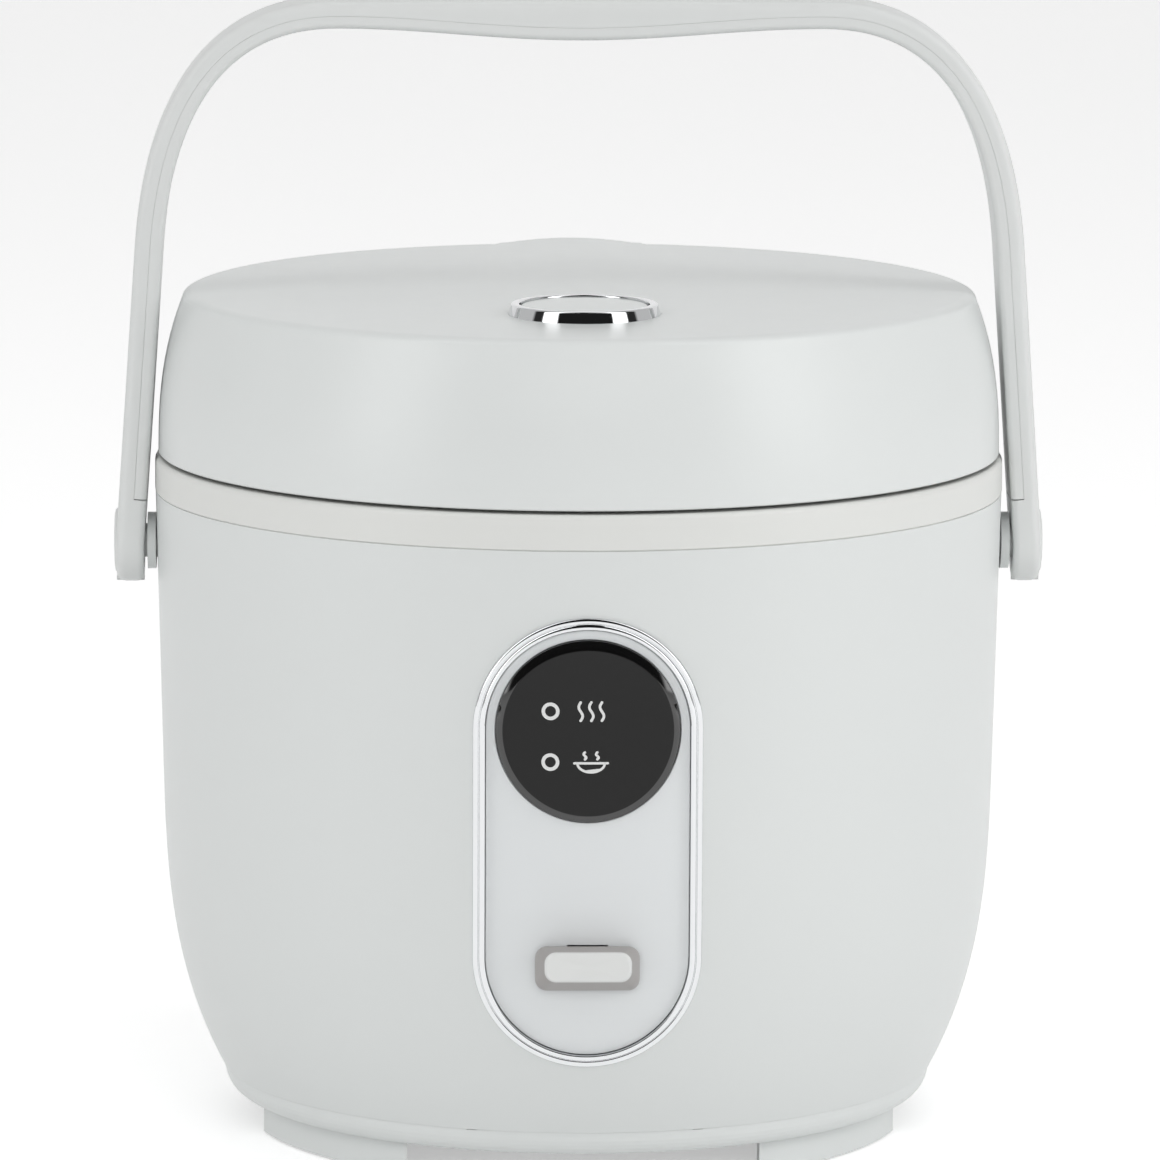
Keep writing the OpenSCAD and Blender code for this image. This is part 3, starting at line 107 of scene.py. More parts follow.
def sweep_paper(colour, lift):
    """Diffuse colour, lifted for the rays that see it straight, in gloss or through glass."""
    material = bpy.data.materials.new("sweep_paper")
    material.use_nodes = True
    tree = material.node_tree
    tree.nodes.clear()
    ray = add(tree, "ShaderNodeLightPath").outputs
    seen = number(tree, "MAXIMUM", ray["Is Camera Ray"], ray["Is Glossy Ray"])
    seen = number(tree, "MAXIMUM", seen, ray["Is Transmission Ray"])
    diffuse = add(tree, "ShaderNodeBsdfDiffuse", {"Color": (*colour, 1)})
    glow = add(tree, "ShaderNodeEmission", {"Strength": number(tree, "MULTIPLY", seen, lift)})
    both = add(tree, "ShaderNodeAddShader", {0: diffuse.outputs[0], 1: glow.outputs[0]})
    add(tree, "ShaderNodeOutputMaterial", {"Surface": both.outputs[0]})
    return material


def curved_sweep():
    width, front, back, height, bend = 4.0, -3.6, 3.8, 3.6, 0.6
    points = [(front, 0)]
    for k in range(13):
        a = math.pi / 2 * k / 12
        points.append((back - bend + bend * math.sin(a), bend - bend * math.cos(a)))
    points.append((back, height))
    verts = [(s * width, y, z) for y, z in points for s in (-1, 1)]
    faces = [(2 * k, 2 * k + 1, 2 * k + 3, 2 * k + 2) for k in range(len(points) - 1)]
    piece = built("sweep", verts, faces)
    piece.data.polygons.foreach_set("use_smooth", [True] * len(faces))
    return piece


sweep = curved_sweep()
sweep.data.materials.append(sweep_paper((0.9, 0.9, 0.9), 0.42))

world = bpy.data.worlds.new("studio")
scene.world = world
world.use_nodes = True
room_tree = world.node_tree
room_tree.nodes.clear()
outlook = add(room_tree, "ShaderNodeTexCoord").outputs["Generated"]
heading = add(room_tree, "ShaderNodeSeparateXYZ", {0: outlook}).outputs
azimuth = number(room_tree, "ARCTAN2", heading["X"], number(room_tree, "MULTIPLY", heading["Y"], -1.0))
half_turn = number(room_tree, "DIVIDE", number(room_tree, "ABSOLUTE", azimuth), math.pi)
strips = add(room_tree, "ShaderNodeValToRGB", {0: half_turn})
stops = strips.color_ramp.elements
stops[0].position, stops[0].color = 0.0, (0.015, 0.015, 0.015, 1)
stops[1].position, stops[1].color = 1.0, (0.62, 0.62, 0.62, 1)
for degrees, tone in ((42, 0.015), (45, 3.0), (66, 3.0), (69, 0.03), (83, 0.03), (88, 0.62)):
    stops.new(degrees / 180).color = (tone, tone, tone, 1)


def background(colour, strength):
    return add(room_tree, "ShaderNodeBackground", {"Color": colour, "Strength": strength}).outputs[0]


def mixed(ray, first, second):
    return add(room_tree, "ShaderNodeMixShader", {0: room_ray[ray], 1: first, 2: second}).outputs[0]


ROOM_LIGHT, WHITE = 0.475, (1, 1, 1, 1)
room_ray = add(room_tree, "ShaderNodeLightPath").outputs
lit_room = mixed("Is Glossy Ray", background(WHITE, ROOM_LIGHT), background(strips.outputs[0], 1.0))
whole_room = mixed("Is Camera Ray", lit_room, background(WHITE, 1.0))
add(room_tree, "ShaderNodeOutputWorld", {"Surface": whole_room})


def soft_box(name, place, aim, width, height, watts):
    data = bpy.data.lights.new(name, "AREA")
    data.shape = "RECTANGLE"
    data.size = width
    data.size_y = height
    data.energy = watts
    lamp = bpy.data.objects.new(name, data)
    lamp.visible_glossy = False
    scene.collection.objects.link(lamp)
    lamp.location = place
    lamp.rotation_euler = (Vector(aim) - Vector(place)).to_track_quat("-Z", "Y").to_euler()


soft_box("side_left", (-1.5, -0.5, 0.75), (0, 0, 0.12), 0.7, 1.6, 5.7)
soft_box("side_right", (1.5, -0.5, 0.75), (0, 0, 0.12), 0.7, 1.6, 8.8)
soft_box("overhead", (0.2, 0.1, 1.8), (0, 0, 0.1), 1.6, 1.2, 2.6)
soft_box("front_fill", (0, -2.3, 1.1), (0, 0, 0.1), 1.6, 0.8, 13.5)

# ---- Base cover, feet and rubber pads ----
# The base cover is moulded in white ABS with a rounded skirt and four arc-shaped feet. Each foot
# holds two rubber pads, and four screws pull the cover up against posts inside the shell.


def surface_group(name, inputs, relief):
    """Shader group with named inputs that puts out a colour, a roughness and a relief."""
    tree = bpy.data.node_groups.new(name, "ShaderNodeTree")
    for label, value in {"Vector": None, **inputs}.items():
        kind = "Vector" if value is None else "Color" if isinstance(value, tuple) else "Float"
        socket = tree.interface.new_socket(label, in_out="INPUT", socket_type="NodeSocket" + kind)
        if value is not None:
            socket.default_value = value
    for label, kind in (("Colour", "Color"), ("Roughness", "Float"), (relief, "Float")):
        tree.interface.new_socket(label, in_out="OUTPUT", socket_type="NodeSocket" + kind)
    return tree, add(tree, "NodeGroupInput").outputs


def noise(tree, place, scale, detail):
    grains = {"Vector": place, "Scale": scale, "Detail": detail}
    return add(tree, "ShaderNodeTexNoise", grains).outputs["Fac"]


def spread(tree, value, low, high):
    """Maps 0 to 1 onto low to high."""
    return add(tree, "ShaderNodeMapRange", {"Value": value, "To Min": low, "To Max": high}).outputs[0]


def tinted(tree, colour, share):
    return add(tree, "ShaderNodeVectorMath", {0: colour, "Scale": share}, operation="SCALE").outputs[0]


def moulded_group():
    """Fine grain, slow tone drift and uneven gloss of a moulded plastic surface."""
    inputs = {"Colour": (0.7, 0.7, 0.7, 1), "Drift": 0.02, "Gloss low": 0.38, "Gloss high": 0.46,
              "Grain per metre": 2600.0}
    tree, ins = surface_group("moulded_surface", inputs, "Grain")
    tone = spread(tree, noise(tree, ins["Vector"], 16, 3), 1.0, number(tree, "SUBTRACT", 1.0, ins["Drift"]))
    gloss = spread(tree, noise(tree, ins["Vector"], 220, 4), ins["Gloss low"], ins["Gloss high"])
    grain = noise(tree, ins["Vector"], ins["Grain per metre"], 2)
    tint = tinted(tree, ins["Colour"], tone)
    add(tree, "NodeGroupOutput", {"Colour": tint, "Roughness": gloss, "Grain": grain})
    return tree


def surfaced(name, group, values, relief=None, depth=0.0, strength=0.0):
    """Material whose colour, roughness and relief come from a surface group on object coordinates."""
    material = bpy.data.materials.new(name)
    material.use_nodes = True
    tree = material.node_tree
    shader = tree.nodes["Principled BSDF"]
    place = add(tree, "ShaderNodeTexCoord", name="place").outputs["Object"]
    surface = add(tree, "ShaderNodeGroup", {"Vector": place, **values}, node_tree=group, name="surface")
    tree.links.new(surface.outputs["Colour"], shader.inputs["Base Color"])
    tree.links.new(surface.outputs["Roughness"], shader.inputs["Roughness"])
    if relief:
        grooves = {"Strength": strength, "Distance": depth, "Height": surface.outputs[relief]}
        tree.links.new(add(tree, "ShaderNodeBump", grooves).outputs["Normal"], shader.inputs["Normal"])
    return material


moulded_surface = moulded_group()


def moulded(name, colour, gloss=(0.36, 0.44), drift=0.02, grain=2600.0, depth=0.00002, strength=0.12,
            coat=0.0):
    """Moulded plastic in an sRGB colour of 0 to 255."""
    linear = [((c / 255 + 0.055) / 1.055) ** 2.4 if c > 10 else c / 255 / 12.92 for c in colour]
    values = {"Colour": (*linear, 1), "Drift": drift, "Gloss low": gloss[0], "Gloss high": gloss[1],
              "Grain per metre": grain}
    material = surfaced(name, moulded_surface, values, "Grain", depth, strength)
    shader = material.node_tree.nodes["Principled BSDF"]
    shader.inputs["Coat Weight"].default_value = coat
    shader.inputs["Coat Roughness"].default_value = 0.12
    return material


def dress(material, *names):
    """Gives CAD nodes a material through their own slots."""
    for name in names:
        piece = nodes[name]
        if not piece.data.materials:
            piece.data.materials.append(material)
        for place in piece.material_slots:
            place.material = material


body_white = moulded("body_white", (222, 225, 224))
dress(body_white, "base_cover")
dress(moulded("pad_rubber", (66, 66, 66), gloss=(0.6, 0.75), drift=0.15, grain=4000, strength=0.3),
      "rubber_feet")


def metal_group():
    """Rolled or drawn metal: fine lines along one direction, cloudy gloss and a few dull patches."""
    inputs = {"Colour": (0.6, 0.6, 0.6, 1), "Gloss low": 0.2, "Gloss high": 0.4}
    tree, ins = surface_group("worked_metal", inputs, "Lines")
    stretch = {"Vector": ins["Vector"], "Scale": (900, 900, 9000)}
    cloud = noise(tree, ins["Vector"], 60, 4)
    gloss = spread(tree, cloud, ins["Gloss low"], ins["Gloss high"])
    tint = tinted(tree, ins["Colour"], spread(tree, cloud, 1.0, 0.9))
    lines = noise(tree, add(tree, "ShaderNodeMapping", stretch).outputs[0], 1, 2)
    add(tree, "NodeGroupOutput", {"Colour": tint, "Roughness": gloss, "Lines": lines})
    return tree


worked_metal = metal_group()


def plated(material):
    material.node_tree.nodes["Principled BSDF"].inputs["Metallic"].default_value = 1.0
    return material


def metal(name, colour, gloss=(0.22, 0.36), depth=0.00001, strength=0.15):
    """Bare or plated metal in a linear colour."""
    values = {"Colour": (*colour, 1), "Gloss low": gloss[0], "Gloss high": gloss[1]}
    return plated(surfaced(name, worked_metal, values, "Lines", depth, strength))


zinc = metal("zinc_plate", (0.62, 0.63, 0.64))
dress(zinc, "base_screws")

# ---- Outer shell ----
# One tapered ABS moulding, a body of revolution that tucks in at its foot, with an oval opening for
# the front panel, a flat seat with an opening for the mains inlet, and two holes for the pivot studs.


def new_tree(name, inputs):
    """Geometry tree with named number inputs; returns the tree and its input sockets."""
    tree = bpy.data.node_groups.new(name, "GeometryNodeTree")
    tree.interface.new_socket("Geometry", in_out="OUTPUT", socket_type="NodeSocketGeometry")
    for label, value in inputs.items():
        socket = tree.interface.new_socket(label, in_out="INPUT", socket_type="NodeSocketFloat")
        socket.default_value = value
    return tree, add(tree, "NodeGroupInput").outputs


def finished(tree, geometry, material):
    """Ends a tree in Realize Instances and Set Material."""
    real = add(tree, "GeometryNodeRealizeInstances", {0: geometry})
    paint = add(tree, "GeometryNodeSetMaterial", {0: real.outputs[0], "Material": material})
    add(tree, "NodeGroupOutput", {"Geometry": paint.outputs[0]})
    return tree


def triple(tree, x=0.0, y=0.0, z=0.0):
    """Vector of three sockets or numbers."""
    return add(tree, "ShaderNodeCombineXYZ", {0: x, 1: y, 2: z}).outputs[0]


def applied(piece):
    """Turns the evaluated object into a plain mesh and removes its modifiers."""
    bpy.context.view_layer.update()
    graph = bpy.context.evaluated_depsgraph_get()
    mesh = bpy.data.meshes.new_from_object(piece.evaluated_get(graph))
    piece.modifiers.clear()
    old = piece.data
    piece.data = mesh
    bpy.data.meshes.remove(old)
    return piece


def grown(name, tree, inputs):
    """Object whose mesh a geometry tree makes, as a plain mesh."""
    piece = link(name, bpy.data.meshes.new(name))
    modifier = piece.modifiers.new("grow", "NODES")
    modifier.node_group = tree
    for item in tree.interface.items_tree:
        if item.in_out == "INPUT" and item.name in inputs:
            modifier[item.identifier] = float(inputs[item.name])
    return applied(piece)


def outward(piece):
    """Merges doubles and turns the faces of a closed mesh outwards."""
    work = bmesh.new()
    work.from_mesh(piece.data)
    bmesh.ops.remove_doubles(work, verts=work.verts, dist=1e-6)
    bmesh.ops.recalc_face_normals(work, faces=work.faces)
    if work.calc_volume(signed=True) < 0:
        bmesh.ops.reverse_faces(work, faces=work.faces)
    work.to_mesh(piece.data)
    work.free()
    return piece


def walled(piece, thickness):
    """Gives a shell its wall, inwards from its outer face."""
    modifier = piece.modifiers.new("wall", "SOLIDIFY")
    modifier.thickness = thickness
    modifier.offset = -1
    return outward(applied(piece))


def smooth(piece, angle):
    """Smooth shading with creases where faces meet at more than an angle in degrees."""
    piece.data.polygons.foreach_set("use_smooth", [True] * len(piece.data.polygons))
    piece.data.set_sharp_from_angle(angle=math.radians(angle))


def painted(piece, material, angle):
    piece.data.materials.clear()
    piece.data.materials.append(material)
    smooth(piece, angle)


def cut(piece, tool, operation="DIFFERENCE"):
    """Takes a tool's solid out of a piece, or adds it, and throws the tool away."""
    modifier = piece.modifiers.new("cut", "BOOLEAN")
    modifier.operation = operation
    modifier.solver = "EXACT"
    modifier.object = tool
    applied(piece)
    bpy.data.meshes.remove(tool.data)


SHELL = {"Low": 0.0139, "High": 0.1512, "Top radius": 0.0999, "Draft": 0.024, "Tuck": 0.0123,
         "Tuck height": 0.072}


def shell_r(z):
    rise = max(0.0, 1 - (z - SHELL["Low"]) / SHELL["Tuck height"])
    return SHELL["Top radius"] - SHELL["Draft"] * (SHELL["High"] - z) - SHELL["Tuck"] * rise ** 3


def shell_tree(material):
    """Grid rolled up about the axis, its radius following the tapered and tucked outline."""
    tree, ins = new_tree("turned_shell", SHELL)

    def calc(operation, *terms):
        return number(tree, operation, *terms)

    grid = add(tree, "GeometryNodeMeshGrid", {"Vertices X": 289, "Vertices Y": 56})
    flat = add(tree, "GeometryNodeInputPosition").outputs[0]
    where = add(tree, "ShaderNodeSeparateXYZ", {0: flat}).outputs
    turn = calc("MULTIPLY", calc("ADD", where[0], 0.5), 2 * math.pi)
    height = calc("MULTIPLY", calc("ADD", where[1], 0.5), calc("SUBTRACT", ins["High"], ins["Low"]))
    fade = calc("MAXIMUM", calc("SUBTRACT", 1.0, calc("DIVIDE", height, ins["Tuck height"])), 0.0)
    tuck = calc("MULTIPLY", ins["Tuck"], calc("POWER", fade, 3.0))
    z = calc("ADD", height, ins["Low"])
    draft = calc("MULTIPLY", ins["Draft"], calc("SUBTRACT", ins["High"], z))
    radius = calc("SUBTRACT", calc("SUBTRACT", ins["Top radius"], draft), tuck)
    x = calc("MULTIPLY", radius, calc("COSINE", turn))
    y = calc("MULTIPLY", radius, calc("SINE", turn))
    point = triple(tree, x, y, z)
    rolled = add(tree, "GeometryNodeSetPosition", {"Geometry": grid.outputs["Mesh"], "Position": point})
    weld = add(tree, "GeometryNodeMergeByDistance", {0: rolled.outputs[0], "Distance": 1e-6})
    return finished(tree, weld.outputs[0], material)


def oval(width, height, centre_z, steps=40):
    """Points of an upright oval with round ends, counterclockwise from the right."""
    r = width / 2
    straight = height / 2 - r
    rows = 12 if straight > 0 else 0
    points = []
    for sign in (1, -1):
        for k in range(steps + 1 if rows else steps):
            a = math.pi * k / steps
            points.append((sign * r * math.cos(a), centre_z + sign * straight + sign * r * math.sin(a)))
        points += [(-sign * r, centre_z + sign * straight - sign * 2 * straight * k / rows)
                   for k in range(1, rows)]
    return points


def loft(name, rings, closed=True):
    """Skin over a list of closed rings; the last ring joins the first, or both ends get caps."""
    count = len(rings[0])
    verts = [point for ring in rings for point in ring]
    faces = []
    for i in range(len(rings) if closed else len(rings) - 1):
        a, b = i * count, (i + 1) % len(rings) * count
        faces += [(a + k, a + (k + 1) % count, b + (k + 1) % count, b + k) for k in range(count)]
    if not closed:
        faces += [tuple(range(count - 1, -1, -1)), tuple(range(len(verts) - count, len(verts)))]
    return outward(built(name, verts, faces))


def shaped(name, work):
    """Object from a mesh under work."""
    mesh = bpy.data.meshes.new(name)
    work.to_mesh(mesh)
    work.free()
    return link(name, mesh)


def block(name, low, high):
    work = bmesh.new()
    bmesh.ops.create_cube(work, size=1)
    for corner in work.verts:
        corner.co = [low[k] if corner.co[k] < 0 else high[k] for k in range(3)]
    return shaped(name, work)


def rod(name, start, end, radius, sides=64):
    """Cylinder between two points."""
    work = bmesh.new()
    line = Vector(end) - Vector(start)
    turn = line.to_track_quat("Z", "Y").to_matrix().to_4x4()
    middle = Matrix.Translation((Vector(start) + Vector(end)) / 2)
    bmesh.ops.create_cone(work, cap_ends=True, segments=sides, radius1=radius, radius2=radius,
                          depth=line.length, matrix=middle @ turn)
    return shaped(name, work)


SHELL_WALL, STUD_R, PIVOT_Z = 0.0024, 0.004, 0.1385
PANEL_Z, TRIM_W, TRIM_H, TRIM_LAP = 0.0836, 0.0522, 0.105, 0.0004
FLANGE_T, FLANGE_LAP, PAD_DEPTH, BEYOND = 0.002, 0.002, 0.006, 0.12


def trim_oval(inset, steps=40):
    """Outline of the trim ring, drawn in from its outer edge."""
    return oval(TRIM_W - 2 * inset, TRIM_H - 2 * inset, PANEL_Z, steps)


outer_wall = walled(outward(grown("outer_wall", shell_tree(body_white), SHELL)), SHELL_WALL)
panel_ends = [[(x, y, z) for x, z in trim_oval(TRIM_LAP)] for y in (-BEYOND, -BEYOND / 2)]
cut(outer_wall, loft("panel_opening", panel_ends, closed=False))
inlet_low, inlet_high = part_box("power_inlet")
seat_y = inlet_high[1] - FLANGE_T
pad_low = (inlet_low[0] - 0.0015, seat_y - PAD_DEPTH, inlet_low[2] - 0.0005)
pad_high = (inlet_high[0] + 0.0015, seat_y, inlet_high[2] + 0.0005)
cut(outer_wall, block("inlet_pad", pad_low, pad_high), "UNION")
cut(outer_wall, block("inlet_seat", (pad_low[0], seat_y, pad_low[2]), (pad_high[0], BEYOND, pad_high[2])))
cut(outer_wall, block("inlet_opening", (inlet_low[0] + FLANGE_LAP, 0.08, inlet_low[2] + FLANGE_LAP),
                      (inlet_high[0] - FLANGE_LAP, BEYOND, inlet_high[2] - FLANGE_LAP)))
cut(outer_wall, rod("stud_opening", (-BEYOND, 0, PIVOT_Z), (BEYOND, 0, PIVOT_Z), STUD_R))
painted(outer_wall, body_white, 25)
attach(outer_wall, "root")
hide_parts("outer_shell")

# ---- Collar ring and heat liner ----
# The collar is a separate PP ring, slightly warmer than the shell, with the deck that the pot hangs
# in and two hinge ears at the rear. It is screwed down onto the spun steel heat liner.
dress(moulded("collar_cream", (224, 225, 222)), "collar_ring")
dress(zinc, "collar_screws")
dress(metal("liner_steel", (0.56, 0.57, 0.58), gloss=(0.25, 0.42)), "heat_liner")

# ---- Inner pot ----
# Deep-drawn aluminium with a rolled flange, hard anodised outside and coated grey inside.
pot_aluminium = metal("pot_aluminium", (0.7, 0.71, 0.72), gloss=(0.28, 0.42))
dress(pot_aluminium, "inner_pot")

# ---- Heating plate, element and sensor ----
# Cast aluminium plate with a tubular element in its groove, on three steel legs. A sprung cap with a
# ferrite disc in its middle trips the magnet plunger when the pot runs dry.
dress(metal("cast_aluminium", (0.6, 0.61, 0.62), gloss=(0.4, 0.6), depth=0.00005, strength=0.3),
      "heating_plate")
dress(metal("element_steel", (0.34, 0.32, 0.3), gloss=(0.35, 0.5)), "heating_element")
dress(zinc, "plate_legs", "thermostat_frame")
dress(pot_aluminium, "sensor_cap")
dress(moulded("ferrite_grey", (74, 74, 77), gloss=(0.5, 0.65), drift=0.12, grain=3500, strength=0.3),
      "ferrite_disc", "magnet_plunger")


def coil_tree(material):
    """Coil spring of round wire: a spiral line swept by a circle."""
    inputs = {"Radius": 0.008, "Wire": 0.0006, "Low": 0.0, "High": 0.01, "Turns": 4}
    tree, ins = new_tree("coil_spring", inputs)
    span = number(tree, "SUBTRACT", number(tree, "SUBTRACT", ins["High"], ins["Low"]),
                  number(tree, "MULTIPLY", ins["Wire"], 2))
    bends = {"Resolution": 36, "Rotations": ins["Turns"], "Start Radius": ins["Radius"],
             "End Radius": ins["Radius"], "Height": span}
    spiral = add(tree, "GeometryNodeCurveSpiral", bends).outputs[0]
    start = triple(tree, z=number(tree, "ADD", ins["Low"], ins["Wire"]))
    line = add(tree, "GeometryNodeTransform", {"Geometry": spiral, "Translation": start}).outputs[0]
    circle = {"Resolution": 12, "Radius": ins["Wire"]}
    wire = add(tree, "GeometryNodeCurvePrimitiveCircle", circle).outputs[0]
    swept = {"Curve": line, "Profile Curve": wire, "Fill Caps": True}
    return finished(tree, add(tree, "GeometryNodeCurveToMesh", swept).outputs[0], material)


spring_steel = metal("spring_steel", (0.55, 0.56, 0.58), gloss=(0.18, 0.3))
coils = coil_tree(spring_steel)


def coil(name, node, body, radius, wire, turns, centre=(0, 0), across=False, press=None):
    """Spring in place of its CAD node, standing on Z or lying along X about the node's middle. press, a
    joint name, the end that stays (0 low, 1 high) and a travel, is not used beyond giving the spring its
    own mesh."""
    low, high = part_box(node)
    axis = 0 if across else 2
    piece = grown(name, coils, {"Radius": radius, "Wire": wire, "Low": low[axis], "High": high[axis],
                                "Turns": turns})
    if across:
        middle = Matrix.Translation((0, (low[1] + high[1]) / 2, (low[2] + high[2]) / 2))
        piece.data.transform(middle @ Matrix.Rotation(math.pi / 2, 4, "Y"))
    else:
        piece.data.transform(Matrix.Translation((*centre, 0)))
    smooth(outward(piece), 60)
    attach(piece, body)
    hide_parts(node)
    if press:
        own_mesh(piece)


coil("plunger_coil", "plunger_spring", "sensor", 0.014, 0.0005, 3, press=("plunger_lift", 1, 0.00439))
coil("sensor_coil", "sensor_spring", "root", 0.0164, 0.0006, 3, press=("sensor_press", 0, 0.001))

# ---- Works under the liner ----
# Bracket, lever and pin are pressed steel; the switch is a thermoset block with a red key, and the
# two thermal protectors are clipped to the liner. Silicone-covered leads join them to the inlet.
dress(zinc, "lever_bracket", "bracket_screws", "lever_pin", "cook_lever", "switch_screws")
dress(moulded("thermoset_black", (44, 43, 42), gloss=(0.3, 0.42), drift=0.1),
      "micro_switch", "keep_warm_thermostat")
dress(moulded("switch_red", (182, 46, 38), gloss=(0.25, 0.35), drift=0.05), "switch_button")
dress(moulded("lead_red", (170, 44, 40), gloss=(0.45, 0.6), drift=0.06), "wiring")
dress(moulded("fuse_ceramic", (222, 214, 192), gloss=(0.15, 0.25), drift=0.05, coat=0.5), "thermal_fuse")

# ---- Power inlet ----
# Black thermoset socket with a flange, two screws and three brass blades, on the flat rear seat.
dress(moulded("inlet_black", (38, 38, 38), gloss=(0.4, 0.52), drift=0.08), "power_inlet")
dress(zinc, "inlet_screws")
dress(metal("pin_brass", (0.72, 0.52, 0.24), gloss=(0.2, 0.32)), "inlet_pins")

# ---- Front panel ----
# White insert that follows the shell, clamped from inside by four screws, with a round seat for the
# indicator disc and a slot for the lever's neck.
dress(moulded("panel_white", (226, 229, 230), gloss=(0.3, 0.38)), "front_panel")
dress(zinc, "panel_screws")

# ---- Trim ring ----
# Chrome-plated oval with two rounded ridges and a groove between them, let into the shell's opening.
chrome = plated(surfaced("chrome_plate", moulded_surface, {"Colour": (0.72, 0.73, 0.74, 1), "Drift": 0.02,
                                                           "Gloss low": 0.035, "Gloss high": 0.065}))


def on_shell(x, z, proud):
    """Point over the shell's front at x and z, a distance outside its wall."""
    return (x, -math.sqrt((shell_r(z) + proud) ** 2 - x * x), z)


# Each pair is how far in from the ring's outer edge, and how far proud of the shell.
ring_section = ((0.0, -0.0014), (0.0, 0.00055), (0.0001, 0.0008), (0.00035, 0.00095), (0.0008, 0.00098),
                (0.00115, 0.0009), (0.00128, 0.0006), (0.00142, 0.0006), (0.00155, 0.00095),
                (0.0019, 0.00108), (0.0024, 0.00108), (0.0027, 0.0009), (0.0028, 0.0006),
                (0.0028, -0.0014))
trim_rings = [[on_shell(x, z, proud) for x, z in trim_oval(inset, 64)] for inset, proud in ring_section]
trim = loft("trim_band", trim_rings)
painted(trim, chrome, 50)
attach(trim, "root")
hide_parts("trim_ring")

# ---- Indicator disc ----
# Polished black acrylic disc, slightly domed, with white printed marks: a ring round each light and
# a sign beside it, three heat waves for keeping warm and a steaming bowl for cooking.
DISC_Z, DISC_R = 0.11, 0.021
disc_acrylic = moulded("disc_acrylic", (14, 14, 14), gloss=(0.05, 0.075), drift=0.03, grain=300,
                       depth=0.000001, strength=0.05)
disc_tree = disc_acrylic.node_tree
disc_place = {"Vector": disc_tree.nodes["place"].outputs["Object"], "Location": (0, 0, -DISC_Z),
              "Scale": (1, 0, 1)}
disc_shift = add(disc_tree, "ShaderNodeMapping", disc_place).outputs[0]
disc_reach = add(disc_tree, "ShaderNodeVectorMath", {0: disc_shift}, operation="LENGTH").outputs["Value"]
disc_fade = {"Value": disc_reach, "From Min": DISC_R * 0.92, "From Max": DISC_R * 0.93, "To Min": 0.3,
             "To Max": 1.0}
disc_rim = add(disc_tree, "ShaderNodeMapRange", disc_fade, interpolation_type="SMOOTHSTEP")
disc_tree.links.new(disc_rim.outputs[0], disc_tree.nodes["Principled BSDF"].inputs["Specular IOR Level"])


def disc_front(x, z, off=0.0):
    """Point on the disc's domed face, which falls away faster at its rim."""
    share = min(1.0, math.hypot(x, z - DISC_Z) / DISC_R)
    rim_fall = 1 - max(0.0, share - 0.925) / 0.075
    return on_shell(x, z, 0.0005 + 0.0006 * (1 - share ** 2) + 0.00035 * rim_fall + off)


def disc_circle(share):
    return oval(2 * DISC_R * share, 2 * DISC_R * share, DISC_Z, 48)


disc_rings = [[on_shell(x, z, proud) for x, z in disc_circle(share)]
              for share, proud in ((1.0, -0.0008), (1.0, 0.0003), (0.997, 0.00052))]
disc_rings += [[disc_front(x, z) for x, z in disc_circle(0.985 * (1 - k / 25))] for k in range(1, 25)]
disc = loft("disc_lens", disc_rings, closed=False)
painted(disc, disc_acrylic, 50)
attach(disc, "root")
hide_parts("indicator_disc")

print_white = moulded("print_white", (226, 227, 226), gloss=(0.35, 0.45), drift=0.01)
dress(moulded("light_smoke", (52, 52, 53), gloss=(0.1, 0.16), drift=0.05, coat=0.4), "light_pipes")
INK_LIFT, INK_T = 0.00002, 0.00004


def printed(name, lines, width):
    """Flat printed lines on the disc: each line is a list of x and z, drawn with round ends."""
    work = bmesh.new()
    half = width / 2
    for line in lines:
        closed = math.dist(line[0], line[-1]) < 1e-9
        points = line[:-1] if closed else line
        left, right = [], []
        count = len(points)
        for k, (x, z) in enumerate(points):
            x0, z0 = points[(k - 1) % count] if closed or k else points[0]
            x1, z1 = points[(k + 1) % count] if closed or k < count - 1 else points[-1]
            span = math.hypot(x1 - x0, z1 - z0)
            nx, nz = -(z1 - z0) / span * half, (x1 - x0) / span * half
            left.append((x + nx, z + nz))
            right.append((x - nx, z - nz))
        if closed:
            a, b = ([work.verts.new(disc_front(x, z, INK_LIFT)) for x, z in side] for side in (left, right))
            for k in range(count):
                work.faces.new((a[k], a[(k + 1) % count], b[(k + 1) % count], b[k]))
            continue
        ends = []
        for (x, z), (ox, oz) in ((points[-1], right[-1]), (points[0], left[0])):
            start = math.atan2(oz - z, ox - x)
            turns = [start + math.pi * t / 8 for t in range(1, 8)]
            ends.append([(x + half * math.cos(a), z + half * math.sin(a)) for a in turns])
        outline = right + ends[0] + left[::-1] + ends[1]
        work.faces.new([work.verts.new(disc_front(x, z, INK_LIFT)) for x, z in outline])
    bmesh.ops.triangulate(work, faces=work.faces)
    raised = bmesh.ops.extrude_face_region(work, geom=work.faces[:])
    for vert in [v for v in raised["geom"] if isinstance(v, bmesh.types.BMVert)]:
        vert.co.y -= INK_T
    piece = outward(shaped(name, work))
    piece.data.materials.append(print_white)
    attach(piece, "root")


LIGHT_X, WARM_Z, COOK_Z, RING_R, RING_W, SIGN_W = -0.0086, 0.11485, 0.10315, 0.00163, 0.0008, 0.0006
round_about = [math.tau * k / 40 for k in range(41)]
for name, z in (("warm_light_ring", WARM_Z), ("cook_light_ring", COOK_Z)):
    ring = [(LIGHT_X + RING_R * math.cos(a), z + RING_R * math.sin(a)) for a in round_about]
    printed(name, [ring], RING_W)


def wave(x, z0, z1, swing):
    return [(x + swing * math.sin(math.tau * t / 16), z0 + (z1 - z0) * t / 16) for t in range(17)]


